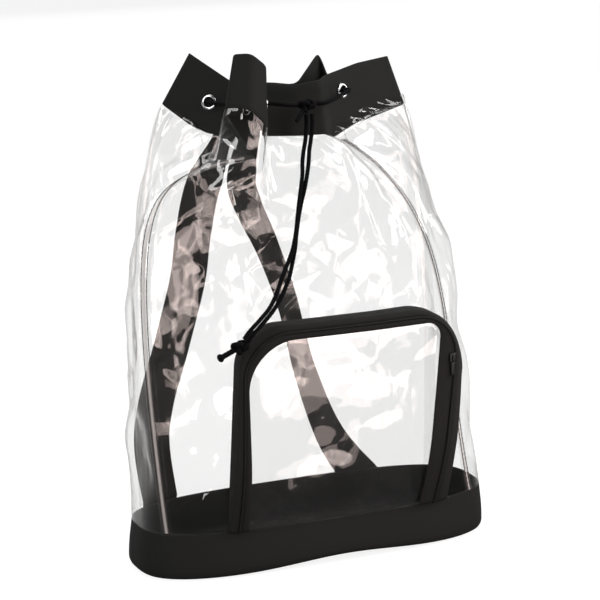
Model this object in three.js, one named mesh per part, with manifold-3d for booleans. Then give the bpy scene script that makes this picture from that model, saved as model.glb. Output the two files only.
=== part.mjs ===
// Clear drawstring backpack: a black tub, four clear film walls, a black gathered collar with chrome
// eyelets and a braided drawcord, a zipped pocket on the front and two webbing straps on the back.
// Millimetres, +Z up, front towards -Y. The origin is the middle of the underside.

import * as THREE from 'three';
import { mergeVertices } from 'three/addons/utils/BufferGeometryUtils.js';
import Module from 'manifold-3d';

const wasm = await Module();
wasm.setup();

// Driving dimensions of the body
const WIDTH = 326;
const DEPTH = 114;
const CORNER_POWER = 3;
const BASE_HEIGHT = 40;
const BASE_WALL = 2;
const BASE_SWELL = 3;
const FOOT_ROUND = 5;
const FOOT_BEVEL = 0.3;
const SWELL_SHARE = 0.7;
const SWELL_HEIGHT = 0.55;
const BASE_SIDES = 64;
const FILM_WALL = 1;
const COLLAR_WALL = 1.6;
const GAP = 0.35;
const SEAM_ANGLE = 0.3;
const ANGLE_STEP = 4;
const NORMAL_REACH = 2.5;
const NORMAL_SHARE = 0.02;
const FOLD_SOFTNESS = 4;
const BULGE_RISE = 0.9;
const BULGE_SQUARE = 1.5;
const HALVINGS = 30;

// Driving dimensions of the eyelets and the cord
const EYELET_FLANGE = 6.5;
const EYELET_BARREL = 4.3;
const EYELET_HOLE = 3.3;
const EYELET_LIP = 0.7;
const EYELET_PLATE = 1.2;
const EYELET_EDGE = 0.6;
const EYELET_MOUTH = 0.8;
const EYELET_SIDES = 12;
const EYELET_LEAD = 8;
const DRILL_SIDES = 16;
const DRILL_LENGTH = 9.6;
const CORD_DIAMETER = 4;
const CORD_SIDES = 8;
const CORD_STEP = 9;
const KNOT_SIDES = 10;
const KNOT_RINGS = 8;

// Driving dimensions of the pocket
const POCKET_MIDDLE = 7;
const POCKET_HALF = 110;
const POCKET_TOP = 223;
const POCKET_STAND = 17;
const POCKET_RAMP = 70;
const POCKET_CROWN = 6;
const ZIP_LINE = 0.5;
const FALL_LEFT = 0.06;
const FALL_RIGHT = 0.42;
const FALL_FROM = 70;
const FALL_TO = 110;
const BAND_WALL = 1.5;
const BAND_CLEAR = 0.7;
const BAND_FOOT = 41;
const LEG_STATIONS = 8;
const CORNER_STATIONS = 7;
const TOP_STATIONS = 9;
const POCKET_TUCK = 0.75;
const POCKET_CLEAR = 1.75;
const POCKET_COLUMNS = 15;
const POCKET_ROWS = 9;
const SLIDER_X = 103;
const SLIDER_HEIGHT = 176;
const SLIDER_WIDTH = 7;
const SLIDER_WALL = 2.2;
const PULL_WIDTH = 4;
const PULL_LENGTH = 11;
const SLIDER_SHOULDER = 4.9;
const SLIDER_NOSE = 5.25;
const SLIDER_CLEAR = 0.05;

// Driving dimensions of the straps
const STRAP_WIDTH = 34;
const STRAP_WALL = 1.8;
const STRAP_BOW = 20;
const STRAP_BOW_POWER = 1.2;
const STRAP_TURN_POWER = 0.5;
const STRAP_PINCH = 0.55;
const STRAP_PINCH_LENGTH = 45;
const STRAP_COLUMNS = 5;
const STRAP_STEPS = 18;
const STRAP_CLEAR = 0.5;
const STRAP_HUG = 0.8;
const STRAP_HUG_POWER = 2;

// Lines up the bag, from the tub's rim to the collar. Columns: angle on the tub's outline, bulge half-way
// up, foot of the collar (x, y, z), how long the wall stays out, how early it flattens, and the lean
// (x, y) and rise of the collar above its foot.
const COLUMNS = ['angle', 'bulge', 'x', 'y', 'z', 'stay', 'flatten', 'leanX', 'leanY', 'rise'];
const LINES = {
  rightMiddle: [2, -8, 64, 12, 379, 2.8, 1.4, -13, -1, 45],
  backRightCorner: [36, 2, 115, 40, 381, 2.4, 1.2, -21, -7, 44],
  backRightFold: [57, 3, 49, 45, 361, 3, 1.5, -6, 2, 41],
  backRightPleat: [66, 4, 52, 62, 386, 2.4, 1.2, -12, 4, 42],
  backMiddle: [86, 4, 8, 38, 362, 4, 1.8, -4, -2, 43],
  backFlatRight: [98, 4, -12, 56, 364, 2.6, 1.3, -2, -4, 42],
  backFlatLeft: [116, 4, -68, 54, 364, 2.6, 1.3, 4, -4, 42],
  backLeftFold: [127, 4, -90, 41, 374, 3, 1.5, 12, -4, 42],
  backLeftCorner: [144, 6, -119, 46, 397, 2.6, 1.2, 21, -12, 43],
  leftMiddle: [178, 4, -88, 20, 376, 4, 1.6, 15, -6, 44],
  frontLeftCorner: [209, 27, -52, -10, 350, 7.6, 2, 8, 2, 48],
  pleatLeft: [228, 5, -101, -46, 405, 2.2, 1.2, 10, 4, 42],
  pleatCrest: [240, 4, -82, -60, 405, 2, 1.2, 7, 10, 43],
  pleatRight: [252, 4, -60, -54, 385, 2.2, 1.2, 2, 8, 50],
  frontLeftFold: [260, 4, -55, -22, 374, 3, 1.4, 0, 2, 44],
  frontMiddle: [274, 4, -20, -24, 372, 3.2, 1.5, -2, 5, 42],
  frontRight: [298, 2, 4, -26, 372, 2.5, 1.4, -3, 6, 45],
  frontRightCorner: [322, -20, 16, -15, 366, 3.8, 1.1, -5, 5, 53],
};

// Eyelets, each at a share of the way between two lines of the collar and a share of its height, with the
// side that the cord enters from as it is followed from the right of the knot round to its left.
const EYELET_COLUMNS = ['name', 'from', 'to', 'share', 'height', 'enters'];
const EYELETS = [
  ['eyelet_right', 'frontRightCorner', 'rightMiddle', 0.4, 0.66, 'outside'],
  ['eyelet_back_right', 'backRightPleat', 'backMiddle', 0.5, 0.52, 'inside'],
  ['eyelet_back_left', 'backMiddle', 'backFlatRight', 0.55, 0.52, 'outside'],
  ['eyelet_left', 'backLeftCorner', 'frontLeftCorner', 0.47, 0.47, 'inside'],
  ['eyelet_pleat_left', 'frontLeftCorner', 'pleatLeft', 0.5, 0.52, 'outside'],
  ['eyelet_pleat_right', 'pleatRight', 'frontLeftFold', 0.54, 0.52, 'inside'],
];
const COLLAR_LIFT = 0.016;

const MATERIALS = {
  black: new THREE.MeshStandardMaterial({ color: 0x242422, roughness: 0.75, metalness: 0 }),
  webbing: new THREE.MeshStandardMaterial({ color: 0x2b2725, roughness: 0.85, metalness: 0 }),
  cord: new THREE.MeshStandardMaterial({ color: 0x1b1c20, roughness: 0.8, metalness: 0 }),
  film: new THREE.MeshStandardMaterial({
    color: 0xeeeeee, roughness: 0.08, metalness: 0, transparent: true, opacity: 0.25,
  }),
  chrome: new THREE.MeshStandardMaterial({ color: 0xdcdcdc, roughness: 0.15, metalness: 1 }),
};

const bag = new THREE.Group();

function addPiece(name, geometry, material) {
  const mesh = new THREE.Mesh(geometry, MATERIALS[material]);
  mesh.name = name;
  bag.add(mesh);
  return mesh;
}

// Body surface

const rows = Object.values(LINES).map((row) => Object.fromEntries(COLUMNS.map((key, i) => [key, row[i]])));

/** The columns of LINES at one angle, straight between the rows. */
function rowAt(angle) {
  const turned = rows[0].angle + THREE.MathUtils.euclideanModulo(angle - rows[0].angle, 360);
  const next = rows.findIndex((row) => row.angle > turned);
  const after = next < 0 ? { ...rows[0], angle: rows[0].angle + 360 } : rows[next];
  const before = next < 0 ? rows[rows.length - 1] : rows[next - 1];
  const share = (turned - before.angle) / (after.angle - before.angle);
  const between = (key) => THREE.MathUtils.lerp(before[key], after[key], share);
  return Object.fromEntries(COLUMNS.map((key) => [key, between(key)]));
}

/** The columns at one angle with the folds rounded: a mean over a few angles on both sides. */
function softRowAt(angle) {
  const shifts = [-1, -0.6, -0.3, 0, 0.3, 0.6, 1];
  const near = shifts.map((shift) => rowAt(angle + shift * FOLD_SOFTNESS));
  return Object.fromEntries(
    COLUMNS.map((key) => [key, near.reduce((sum, row) => sum + row[key], 0) / near.length]),
  );
}

/** Outline of the tub's rim at an angle: a superellipse. */
function rimPoint(angle) {
  const radians = THREE.MathUtils.degToRad(angle);
  const along = (value) => Math.sign(value) * Math.abs(value) ** (2 / CORNER_POWER);
  return [(WIDTH / 2) * along(Math.cos(radians)), (DEPTH / 2) * along(Math.sin(radians))];
}

/** Point of the film wall at an angle and a share of the way from the rim to the collar. */
function wallPoint(angle, share) {
  const row = softRowAt(angle);
  const [rimX, rimY] = rimPoint(angle);
  const pull = share ** row.stay;
  const swell = row.bulge * Math.sin(Math.PI * share ** BULGE_RISE);
  const reach = (value, half) => swell * Math.sign(value) * Math.abs(value / half) ** BULGE_SQUARE;
  return new THREE.Vector3(
    THREE.MathUtils.lerp(rimX, row.x, pull) + reach(rimX, WIDTH / 2),
    THREE.MathUtils.lerp(rimY, row.y, pull) + reach(rimY, DEPTH / 2),
    BASE_HEIGHT + (row.z - BASE_HEIGHT) * (1 - (1 - share) ** row.flatten),
  );
}

/** Point of the collar's outer face at an angle and a share of its height. */
function collarPoint(angle, share) {
  const row = softRowAt(angle);
  return new THREE.Vector3(row.x + row.leanX * share, row.y + row.leanY * share, row.z + row.rise * share);
}

/** Outward normal of a surface that is a function of an angle and a height share. */
function outwardNormal(surface, angle, share) {
  const around = surface(angle + NORMAL_REACH, share).sub(surface(angle - NORMAL_REACH, share));
  const low = Math.max(share - NORMAL_SHARE, 0);
  const up = surface(angle, Math.min(share + NORMAL_SHARE, 1)).sub(surface(angle, low));
  return around.cross(up).normalize();
}

/** Share of the way up at which the wall on an angle reaches a height. */
function shareAtHeight(angle, height) {
  const row = softRowAt(angle);
  const risen = THREE.MathUtils.clamp((height - BASE_HEIGHT) / (row.z - BASE_HEIGHT), 0, 1);
  return 1 - (1 - risen) ** (1 / row.flatten);
}

/** Wall point and normal at a given x and height, searched between two angles. */
function wallAt(x, height, lowAngle, highAngle) {
  const xAt = (angle) => wallPoint(angle, shareAtHeight(angle, height)).x;
  const rising = xAt(highAngle) > xAt(lowAngle);
  let [low, high] = [lowAngle, highAngle];
  for (let i = 0; i < HALVINGS; i += 1) {
    const middle = (low + high) / 2;
    if (xAt(middle) < x === rising) low = middle;
    else high = middle;
  }
  const share = shareAtHeight(low, height);
  return { point: wallPoint(low, share), normal: outwardNormal(wallPoint, low, share) };
}

// Solids from grids of points

/** Closed solid from two grids of points, outer and inner, open or closed round the first direction. */
function shellSolid(outer, inner, closed) {
  const across = outer[0].length;
  const around = outer.length;
  const positions = [...outer, ...inner].flat().flatMap((point) => [point.x, point.y, point.z]);
  const corner = (side, i, j) => (side * around + (i % around)) * across + j;
  const triangles = [];
  const quad = (a, b, c, d) => triangles.push(a, b, c, a, c, d);
  const spans = closed ? around : around - 1;
  for (let i = 0; i < spans; i += 1) {
    for (let j = 0; j < across - 1; j += 1) {
      quad(corner(0, i, j), corner(0, i + 1, j), corner(0, i + 1, j + 1), corner(0, i, j + 1));
      quad(corner(1, i, j), corner(1, i, j + 1), corner(1, i + 1, j + 1), corner(1, i + 1, j));
    }
    const top = across - 1;
    quad(corner(0, i, 0), corner(1, i, 0), corner(1, i + 1, 0), corner(0, i + 1, 0));
    quad(corner(0, i, top), corner(0, i + 1, top), corner(1, i + 1, top), corner(1, i, top));
  }
  if (!closed) {
    const end = around - 1;
    for (let j = 0; j < across - 1; j += 1) {
      quad(corner(0, 0, j), corner(0, 0, j + 1), corner(1, 0, j + 1), corner(1, 0, j));
      quad(corner(0, end, j), corner(1, end, j), corner(1, end, j + 1), corner(0, end, j + 1));
    }
  }
  return geometryOf(positions, triangles);
}

/** Closed solid swept through rings of points, each one section with the given outline, and flat ends. */
function sweptSolid(rings, outline) {
  const sides = rings[0].length;
  const positions = rings.flat().flatMap((point) => [point.x, point.y, point.z]);
  const triangles = [];
  for (let i = 0; i < rings.length - 1; i += 1) {
    for (let j = 0; j < sides; j += 1) {
      const [a, b] = [i * sides + j, i * sides + ((j + 1) % sides)];
      triangles.push(a, b, b + sides, a, b + sides, a + sides);
    }
  }
  const caps = THREE.ShapeUtils.triangulateShape(outline.map(([x, y]) => new THREE.Vector2(x, y)), []);
  const last = (rings.length - 1) * sides;
  for (const [a, b, c] of caps) {
    triangles.push(a, b, c);
    triangles.push(last + a, last + c, last + b);
  }
  return geometryOf(positions, triangles);
}

function geometryOf(positions, triangles) {
  const geometry = new THREE.BufferGeometry();
  geometry.setAttribute('position', new THREE.Float32BufferAttribute(positions, 3));
  geometry.setIndex(triangles);
  return geometry;
}

/** Even values from one end to the other, both ends included. */
function evenly(from, to, count) {
  return Array.from({ length: count }, (_, i) => THREE.MathUtils.lerp(from, to, i / (count - 1)));
}

/** Angles from one to another on the common steps, so that neighbours share their facets. */
function anglesBetween(from, to) {
  const first = Math.floor(from / ANGLE_STEP) + 1;
  const count = Math.ceil(to / ANGLE_STEP) - first;
  return [from, ...Array.from({ length: count }, (_, i) => (first + i) * ANGLE_STEP), to];
}

// Base: a moulded tub with a rounded foot, open at the top

function ringAt(inset, height, angles) {
  return angles.map((angle) => {
    const [x, y] = rimPoint(angle);
    const [x1, y1] = rimPoint(angle + NORMAL_REACH);
    const [x0, y0] = rimPoint(angle - NORMAL_REACH);
    const outward = new THREE.Vector2(y1 - y0, x0 - x1).normalize();
    return new THREE.Vector3(x - outward.x * inset, y - outward.y * inset, height);
  });
}

function makeBase() {
  const angles = evenly(0, 360, BASE_SIDES + 1).slice(0, -1);
  const outer = [
    [FOOT_ROUND - BASE_SWELL, 0],
    [FOOT_ROUND * FOOT_BEVEL - BASE_SWELL, FOOT_ROUND * FOOT_BEVEL],
    [-BASE_SWELL, FOOT_ROUND],
    [-BASE_SWELL * SWELL_SHARE, BASE_HEIGHT * SWELL_HEIGHT],
    [0, BASE_HEIGHT],
  ];
  const inner = outer.map(([inset, height], i) => [inset + BASE_WALL, i === 0 ? BASE_WALL : height]);
  const profile = [...outer, ...inner.reverse()];
  const rings = profile.map(([inset, height]) => ringAt(inset, height, angles));
  const count = angles.length;
  const positions = rings.flat().flatMap((point) => [point.x, point.y, point.z]);
  const underside = positions.length / 3;
  positions.push(0, 0, 0, 0, 0, BASE_WALL);
  const triangles = [];
  for (let j = 0; j < count; j += 1) {
    const next = (j + 1) % count;
    triangles.push(underside, next, j);
    for (let i = 0; i < rings.length - 1; i += 1) {
      const [a, b] = [i * count + j, i * count + next];
      triangles.push(a, b, b + count, a, b + count, a + count);
    }
    const floor = (rings.length - 1) * count;
    triangles.push(underside + 1, floor + j, floor + next);
  }
  addPiece('base', geometryOf(positions, triangles), 'black');
}

// Film walls: four sheets that meet at the corner seams

const FILM_WALLS = {
  film_front: ['frontLeftCorner', 'frontRightCorner'],
  film_right: ['frontRightCorner', 'backRightCorner'],
  film_back: ['backRightCorner', 'backLeftCorner'],
  film_left: ['backLeftCorner', 'frontLeftCorner'],
};
const FILM_STEPS = 10;
const FILM_SPACING = 0.85;
const HEM_SHARE = 0.0015;

/** Angles across one film wall, from just past one seam to just before the next. */
function filmAngles([fromLine, toLine]) {
  const from = LINES[fromLine][0];
  const to = LINES[toLine][0] + (LINES[toLine][0] < from ? 360 : 0);
  return anglesBetween(from + SEAM_ANGLE, to - SEAM_ANGLE);
}

function makeFilmWall(name, seams) {
  const steps = evenly(0, 1, FILM_STEPS + 1).map((share) => share ** FILM_SPACING);
  const shares = steps.map((share) => THREE.MathUtils.clamp(share, HEM_SHARE, 1 - HEM_SHARE));
  const face = (depth) =>
    filmAngles(seams).map((angle) =>
      shares.map((share) => {
        const point = wallPoint(angle, share);
        const normal = outwardNormal(wallPoint, angle, share);
        return point.addScaledVector(normal, -depth);
      }),
    );
  addPiece(name, shellSolid(face(0), face(FILM_WALL), false), 'film');
}

// Collar: one band all round, standing on the film's upper edge

function solidOf(geometry) {
  const bare = geometry.clone();
  bare.deleteAttribute('normal');
  bare.deleteAttribute('uv');
  const merged = mergeVertices(bare, 1e-4);
  const vertProperties = merged.attributes.position.array;
  return new wasm.Manifold(new wasm.Mesh({ numProp: 3, vertProperties, triVerts: merged.index.array }));
}

function geometryFrom(solid) {
  const { vertProperties, triVerts } = solid.getMesh();
  return geometryOf(Array.from(vertProperties), Array.from(triVerts));
}

/** Places of the eyelets on the collar: centre, outward normal and the side that the cord enters from. */
function eyeletPlaces() {
  return EYELETS.map((row) => {
    const eyelet = Object.fromEntries(EYELET_COLUMNS.map((key, i) => [key, row[i]]));
    const from = LINES[eyelet.from][0];
    const to = LINES[eyelet.to][0] + (LINES[eyelet.to][0] < from ? 360 : 0);
    const angle = THREE.MathUtils.lerp(from, to, eyelet.share);
    const centre = collarPoint(angle, eyelet.height);
    return { ...eyelet, centre, normal: outwardNormal(collarPoint, angle, eyelet.height) };
  });
}

function makeCollar(places) {
  const angles = Object.values(FILM_WALLS).flatMap(filmAngles).map((angle) => angle % 360);
  angles.sort((a, b) => a - b);
  const face = (depth) =>
    angles.map((angle) =>
      [COLLAR_LIFT, 1].map((share) => {
        const level = outwardNormal(collarPoint, angle, share).setZ(0).normalize();
        return collarPoint(angle, share).addScaledVector(level, -depth);
      }),
    );
  let band = solidOf(shellSolid(face(0), face(COLLAR_WALL), true));
  for (const { centre, normal } of places) {
    const radius = EYELET_BARREL + GAP;
    const drill = new THREE.CylinderGeometry(radius, radius, DRILL_LENGTH, DRILL_SIDES);
    drill.applyQuaternion(new THREE.Quaternion().setFromUnitVectors(new THREE.Vector3(0, 1, 0), normal));
    drill.translate(centre.x, centre.y, centre.z);
    band = band.subtract(solidOf(drill));
  }
  addPiece('collar', geometryFrom(band), 'black');
}

// Eyelets: turned rings with a lip on both sides of the band

function makeEyelet({ name, centre, normal }) {
  const front = EYELET_LIP;
  const back = -COLLAR_WALL - EYELET_LIP;
  const profile = [
    [EYELET_HOLE, back - EYELET_PLATE],
    [EYELET_FLANGE, back - EYELET_PLATE],
    [EYELET_FLANGE, back],
    [EYELET_BARREL, back],
    [EYELET_BARREL, front],
    [EYELET_FLANGE, front],
    [EYELET_FLANGE - EYELET_EDGE, front + EYELET_PLATE - EYELET_EDGE / 2],
    [EYELET_HOLE + EYELET_MOUTH, front + EYELET_PLATE],
    [EYELET_HOLE, back - EYELET_PLATE],
  ];
  const outline = profile.map(([radius, axial]) => new THREE.Vector2(radius, axial));
  const ring = new THREE.LatheGeometry(outline, EYELET_SIDES);
  const piece = addPiece(name, ring, 'chrome');
  piece.quaternion.setFromUnitVectors(new THREE.Vector3(0, 1, 0), normal);
  piece.position.copy(centre);
}

// Cord: a loop through the eyelets, a knot in front, two hanging ends and an end knot with a short tail

const COLLAR_KNOT = new THREE.Vector3(-20, -38, 400);
const KNOT_SIZE = [8, 6, 7];
const END_KNOT = new THREE.Vector3(-100, -80, 211);
const END_KNOT_SIZE = [8, 5.5, 7];
const TAIL_END = new THREE.Vector3(-117.5, -80, 203.7);
const TAIL_END_SIZE = [2.8, 3.2, 3.7];
const TAIL_DIAMETER = 5.2;
const TAIL = [[-107.8, -80, 207.8], [-111.1, -80, 206.4], [-114.4, -80, 205]];

// Offsets from the front knot's middle: where the loop leaves it on the right and comes back on the left
const LEAVES_KNOT = [[8.35, 0, 1], [20.35, 0, 2]];
const REACHES_KNOT = [[-16.35, -2, 2], [-8.35, 0, 1]];

// Route of the two hanging ends, from the front knot to the end knot. Columns: x, y, z, half the distance
// between the two, and the turn of the pair in degrees: side by side at nothing, one behind at ninety.
const STRANDS = [
  [-18, -38.5, 392.6, 2.6, 0],
  [-17.7, -39, 386.8, 2.7, 0],
  [-18.4, -39.5, 379.3, 2.7, 0],
  [-19.8, -40.5, 371.1, 2.5, 0],
  [-22.1, -42.5, 363.2, 2.6, 0],
  [-24.2, -45, 353.6, 2.9, 0],
  [-26.3, -48, 344.1, 2.4, 8],
  [-29.1, -50.5, 333.8, 2.2, 16],
  [-32.4, -53, 323.5, 2.2, 34],
  [-35.9, -56, 311.6, 2.2, 50],
  [-39.4, -59.5, 298.1, 2.2, 55],
  [-43.1, -63, 285.6, 2.2, 40],
  [-48, -66.5, 274.8, 2.4, 16],
  [-54.6, -71, 262.8, 3.2, 0],
  [-62.1, -75.5, 251, 2.8, 0],
  [-71, -79, 239.9, 2.1, 0],
  [-81.2, -81.5, 231, 2.1, 0],
  [-90.2, -81.5, 222.6, 2.1, 0],
  [-94.9, -80.8, 216.2, 2.2, 0],
];

function makeKnot(name, centre, [x, y, z]) {
  const ball = new THREE.SphereGeometry(1, KNOT_SIDES, KNOT_RINGS);
  ball.scale(x, y, z);
  ball.translate(centre.x, centre.y, centre.z);
  addPiece(name, ball, 'cord');
}

function makeCordTube(name, points, diameter = CORD_DIAMETER) {
  const path = new THREE.CatmullRomCurve3(points, false, 'centripetal');
  const section = new THREE.Shape(
    evenly(0, 2 * Math.PI, CORD_SIDES + 1)
      .slice(0, -1)
      .map((turn) => new THREE.Vector2(Math.cos(turn), Math.sin(turn)).multiplyScalar(diameter / 2)),
  );
  const steps = Math.ceil(path.getLength() / CORD_STEP);
  addPiece(name, new THREE.ExtrudeGeometry(section, { steps, extrudePath: path }), 'cord');
}

/** Three points that lead a cord straight through an eyelet, from the side that it enters. */
function throughEyelet({ centre, normal, enters }) {
  const way = enters === 'outside' ? 1 : -1;
  return [EYELET_LEAD, 0, -EYELET_LEAD].map((step) => {
    const depth = step * way - COLLAR_WALL / 2;
    return centre.clone().addScaledVector(normal, depth);
  });
}

function makeDrawcord(places) {
  const nearKnot = (offset) => new THREE.Vector3(...offset).add(COLLAR_KNOT);
  const loop = places.flatMap(throughEyelet);
  makeCordTube('drawcord', [...LEAVES_KNOT.map(nearKnot), ...loop, ...REACHES_KNOT.map(nearKnot)]);
}

/** Points of one hanging end: the route moved sideways, square to its run, and turned towards the back. */
function strandPoints(side) {
  return STRANDS.map(([x, y, z, apart, turn], i) => {
    const [x0, , z0] = STRANDS[Math.max(i - 1, 0)];
    const [x1, , z1] = STRANDS[Math.min(i + 1, STRANDS.length - 1)];
    const across = new THREE.Vector3(z0 - z1, 0, x1 - x0).setLength(Math.cos(THREE.MathUtils.degToRad(turn)));
    across.y = Math.sin(THREE.MathUtils.degToRad(turn));
    return new THREE.Vector3(x, y, z).addScaledVector(across, side * apart);
  });
}

// Pocket: a black zip band on three sides, standing off the front film, and a clear front

const FRONT_ANGLES = [212, 320];

const POCKET_LEAST = BAND_CLEAR + FILM_WALL + POCKET_CLEAR + BAND_WALL;

/** Y of the pocket's front: close to the film at the rim, and higher up nearly flat, with a slight crown. */
function pocketFront(x, height) {
  const share = THREE.MathUtils.clamp((height - BASE_HEIGHT) / POCKET_RAMP, 0, 1);
  const near = wallAt(x, height, ...FRONT_ANGLES).point.y - POCKET_LEAST;
  const middle = wallAt(POCKET_MIDDLE, height, ...FRONT_ANGLES).point.y - POCKET_STAND;
  const flat = middle + POCKET_CROWN * ((x - POCKET_MIDDLE) / POCKET_HALF) ** 2;
  return THREE.MathUtils.lerp(near, flat, Math.sin((share * Math.PI) / 2));
}

// Edges of the band: x at the foot and at the top of its left and right legs, height of the top, and the
// radii of its two corners
const EDGE_COLUMNS = ['leftFoot', 'leftTop', 'rightFoot', 'rightTop', 'top', 'leftRound', 'rightRound'];
const BAND_EDGES = {
  outer: [-101, -95, 110.5, 131, 223, 36, 64],
  inner: [-83.5, -90, 79, 93, 210, 43, 13],
};

/** A line along the band, its columns by name: 0 is the outer edge and 1 the inner one. */
function edgeAt(across) {
  const { outer, inner } = BAND_EDGES;
  const row = outer.map((value, i) => THREE.MathUtils.lerp(value, inner[i], across));
  return Object.fromEntries(EDGE_COLUMNS.map((name, i) => [name, row[i]]));
}

/** X of a leg at a height, from the x of its foot and of its top. */
function legX(foot, top, height) {
  return THREE.MathUtils.mapLinear(height, BAND_FOOT, POCKET_TOP, foot, top);
}

/** Stations along the band, x and height: up the left leg, over the top, down the right leg. */
function bandPath(across) {
  const { leftFoot, leftTop, rightFoot, rightTop, top, leftRound, rightRound } = edgeAt(across);
  const leg = (foot, head, round, side) => {
    const shoulder = top - round;
    const bend = legX(foot, head, shoulder);
    const rise = evenly(BAND_FOOT, shoulder, LEG_STATIONS).slice(0, -1);
    const turns = evenly(0, Math.PI / 2, CORNER_STATIONS);
    return [
      ...rise.map((z) => [legX(foot, head, z), z]),
      ...turns.map((turn) => [bend + side * round * (1 - Math.cos(turn)), shoulder + round * Math.sin(turn)]),
    ];
  };
  const left = leg(leftFoot, leftTop, leftRound, 1);
  const right = leg(rightFoot, rightTop, rightRound, -1);
  const over = evenly(left.at(-1)[0], right.at(-1)[0], TOP_STATIONS).slice(1, -1);
  return [...left, ...over.map((x) => [x, top]), ...right.reverse()];
}

/** Section of the band between matching points of its two edges: a wall on the film, then two tapes. The
 *  outer tape falls back from the zip line, most of all on the right leg. */
function bandRing(outer, inner) {
  const wall = BAND_WALL / Math.hypot(inner[0] - outer[0], inner[1] - outer[1]);
  const place = (across, level) => {
    const [x, height] = outer.map((value, i) => THREE.MathUtils.lerp(value, inner[i], across));
    const film = wallAt(x, height, ...FRONT_ANGLES).point.y - BAND_CLEAR;
    const front = pocketFront(x, height);
    const turned = THREE.MathUtils.smoothstep(x, FALL_FROM, FALL_TO);
    const edge = THREE.MathUtils.lerp(front, film, THREE.MathUtils.lerp(FALL_LEFT, FALL_RIGHT, turned));
    const levels = { film, front, edge, behind: front + BAND_WALL, inside: edge + BAND_WALL };
    return new THREE.Vector3(x, levels[level], height);
  };
  return [
    place(0, 'film'),
    place(0, 'edge'),
    place(ZIP_LINE, 'front'),
    place(1, 'front'),
    place(1, 'behind'),
    place(ZIP_LINE, 'behind'),
    place(wall, 'inside'),
    place(wall, 'film'),
  ];
}

function makePocketBand() {
  const inner = bandPath(1);
  const rings = bandPath(0).map((outer, i) => bandRing(outer, inner[i]));
  const [first] = rings;
  const outline = first.map((point) => [point.x, -point.y]);
  addPiece('pocket_band', sweptSolid(rings, outline), 'black');
}

function makePocketFilm() {
  const { leftFoot, leftTop, rightFoot, rightTop, top, leftRound, rightRound } = edgeAt(POCKET_TUCK);
  const turns = evenly(-Math.PI / 2, Math.PI / 2, POCKET_COLUMNS);
  const shares = turns.map((turn) => (1 + Math.sin(turn)) / 2);
  const width = legX(rightFoot, rightTop, top) - legX(leftFoot, leftTop, top);
  const drop = (round, distance) => round - Math.sqrt(round ** 2 - Math.max(round - distance, 0) ** 2);
  const face = (depth) =>
    shares.map((share) => {
      const ceiling = top - drop(leftRound, share * width) - drop(rightRound, (1 - share) * width);
      return evenly(BAND_FOOT, ceiling, POCKET_ROWS).map((height) => {
        const [left, right] = [legX(leftFoot, leftTop, height), legX(rightFoot, rightTop, height)];
        const x = THREE.MathUtils.lerp(left, right, share);
        const front = pocketFront(x, height);
        return new THREE.Vector3(x, front + BAND_WALL + POCKET_CLEAR + depth, height);
      });
    });
  addPiece('pocket_film', shellSolid(face(0), face(FILM_WALL), false), 'film');
}

// Zip slider: a flat body with a pull that hangs below it, on the band's right leg

function makeZipSlider() {
  const seatAt = (x, height) => new THREE.Vector3(x, pocketFront(x, height), height);
  const [wide, narrow, tip] = [SLIDER_WIDTH / 2, PULL_WIDTH / 2, -SLIDER_SHOULDER - PULL_LENGTH];
  const corners = [
    [-wide, wide],
    [-wide, -wide],
    [-narrow, -SLIDER_SHOULDER],
    [-narrow, tip],
    [narrow, tip],
    [narrow, -SLIDER_SHOULDER],
    [wide, -wide],
    [wide, wide],
    [0, SLIDER_NOSE],
  ];
  const outline = new THREE.Shape(corners.map(([x, y]) => new THREE.Vector2(x, y)));
  const body = new THREE.ExtrudeGeometry(outline, { depth: SLIDER_WALL, bevelEnabled: false });
  const piece = addPiece('zip_slider', body, 'black');
  const seat = seatAt(SLIDER_X, SLIDER_HEIGHT);
  const up = seat.clone().sub(seatAt(SLIDER_X, SLIDER_HEIGHT - PULL_LENGTH)).normalize();
  const [leftSeat, rightSeat] = [-wide, wide].map((x) => seatAt(SLIDER_X + x, SLIDER_HEIGHT));
  const out = rightSeat.sub(leftSeat).cross(up).normalize();
  const turn = new THREE.Matrix4().makeBasis(new THREE.Vector3().crossVectors(up, out), up, out);
  piece.quaternion.setFromRotationMatrix(turn);
  piece.position.copy(seat).addScaledVector(out, SLIDER_CLEAR);
}

// Straps: flat webbing down the back, sewn under the collar and at the tub

// Straps: how far each turns about its length half-way down, in degrees, and its middle line from its upper
// end, where it is pinched together, to its lower end, x and height
const STRAPS = {
  strap_left: {
    turn: 0,
    route: [[-56, 362], [-72, 315], [-78, 270], [-82, 228], [-98, 172], [-117, 122], [-124, 85], [-119, 22]],
  },
  strap_right: {
    turn: 36,
    route: [[-34, 362], [-33, 318], [-21, 289], [0, 250], [21, 197], [38, 125], [58, 66], [89, 22]],
  },
};
const BACK_ANGLES = [40, 140];

/** Outer face of the back, film or tub, at an x and a height. */
function backFace(x, height) {
  const { point, normal } = wallAt(x, Math.max(height, BASE_HEIGHT), ...BACK_ANGLES);
  const tub = height < BASE_HEIGHT ? BASE_SWELL : 0;
  return point.y + tub * normal.y;
}

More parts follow.
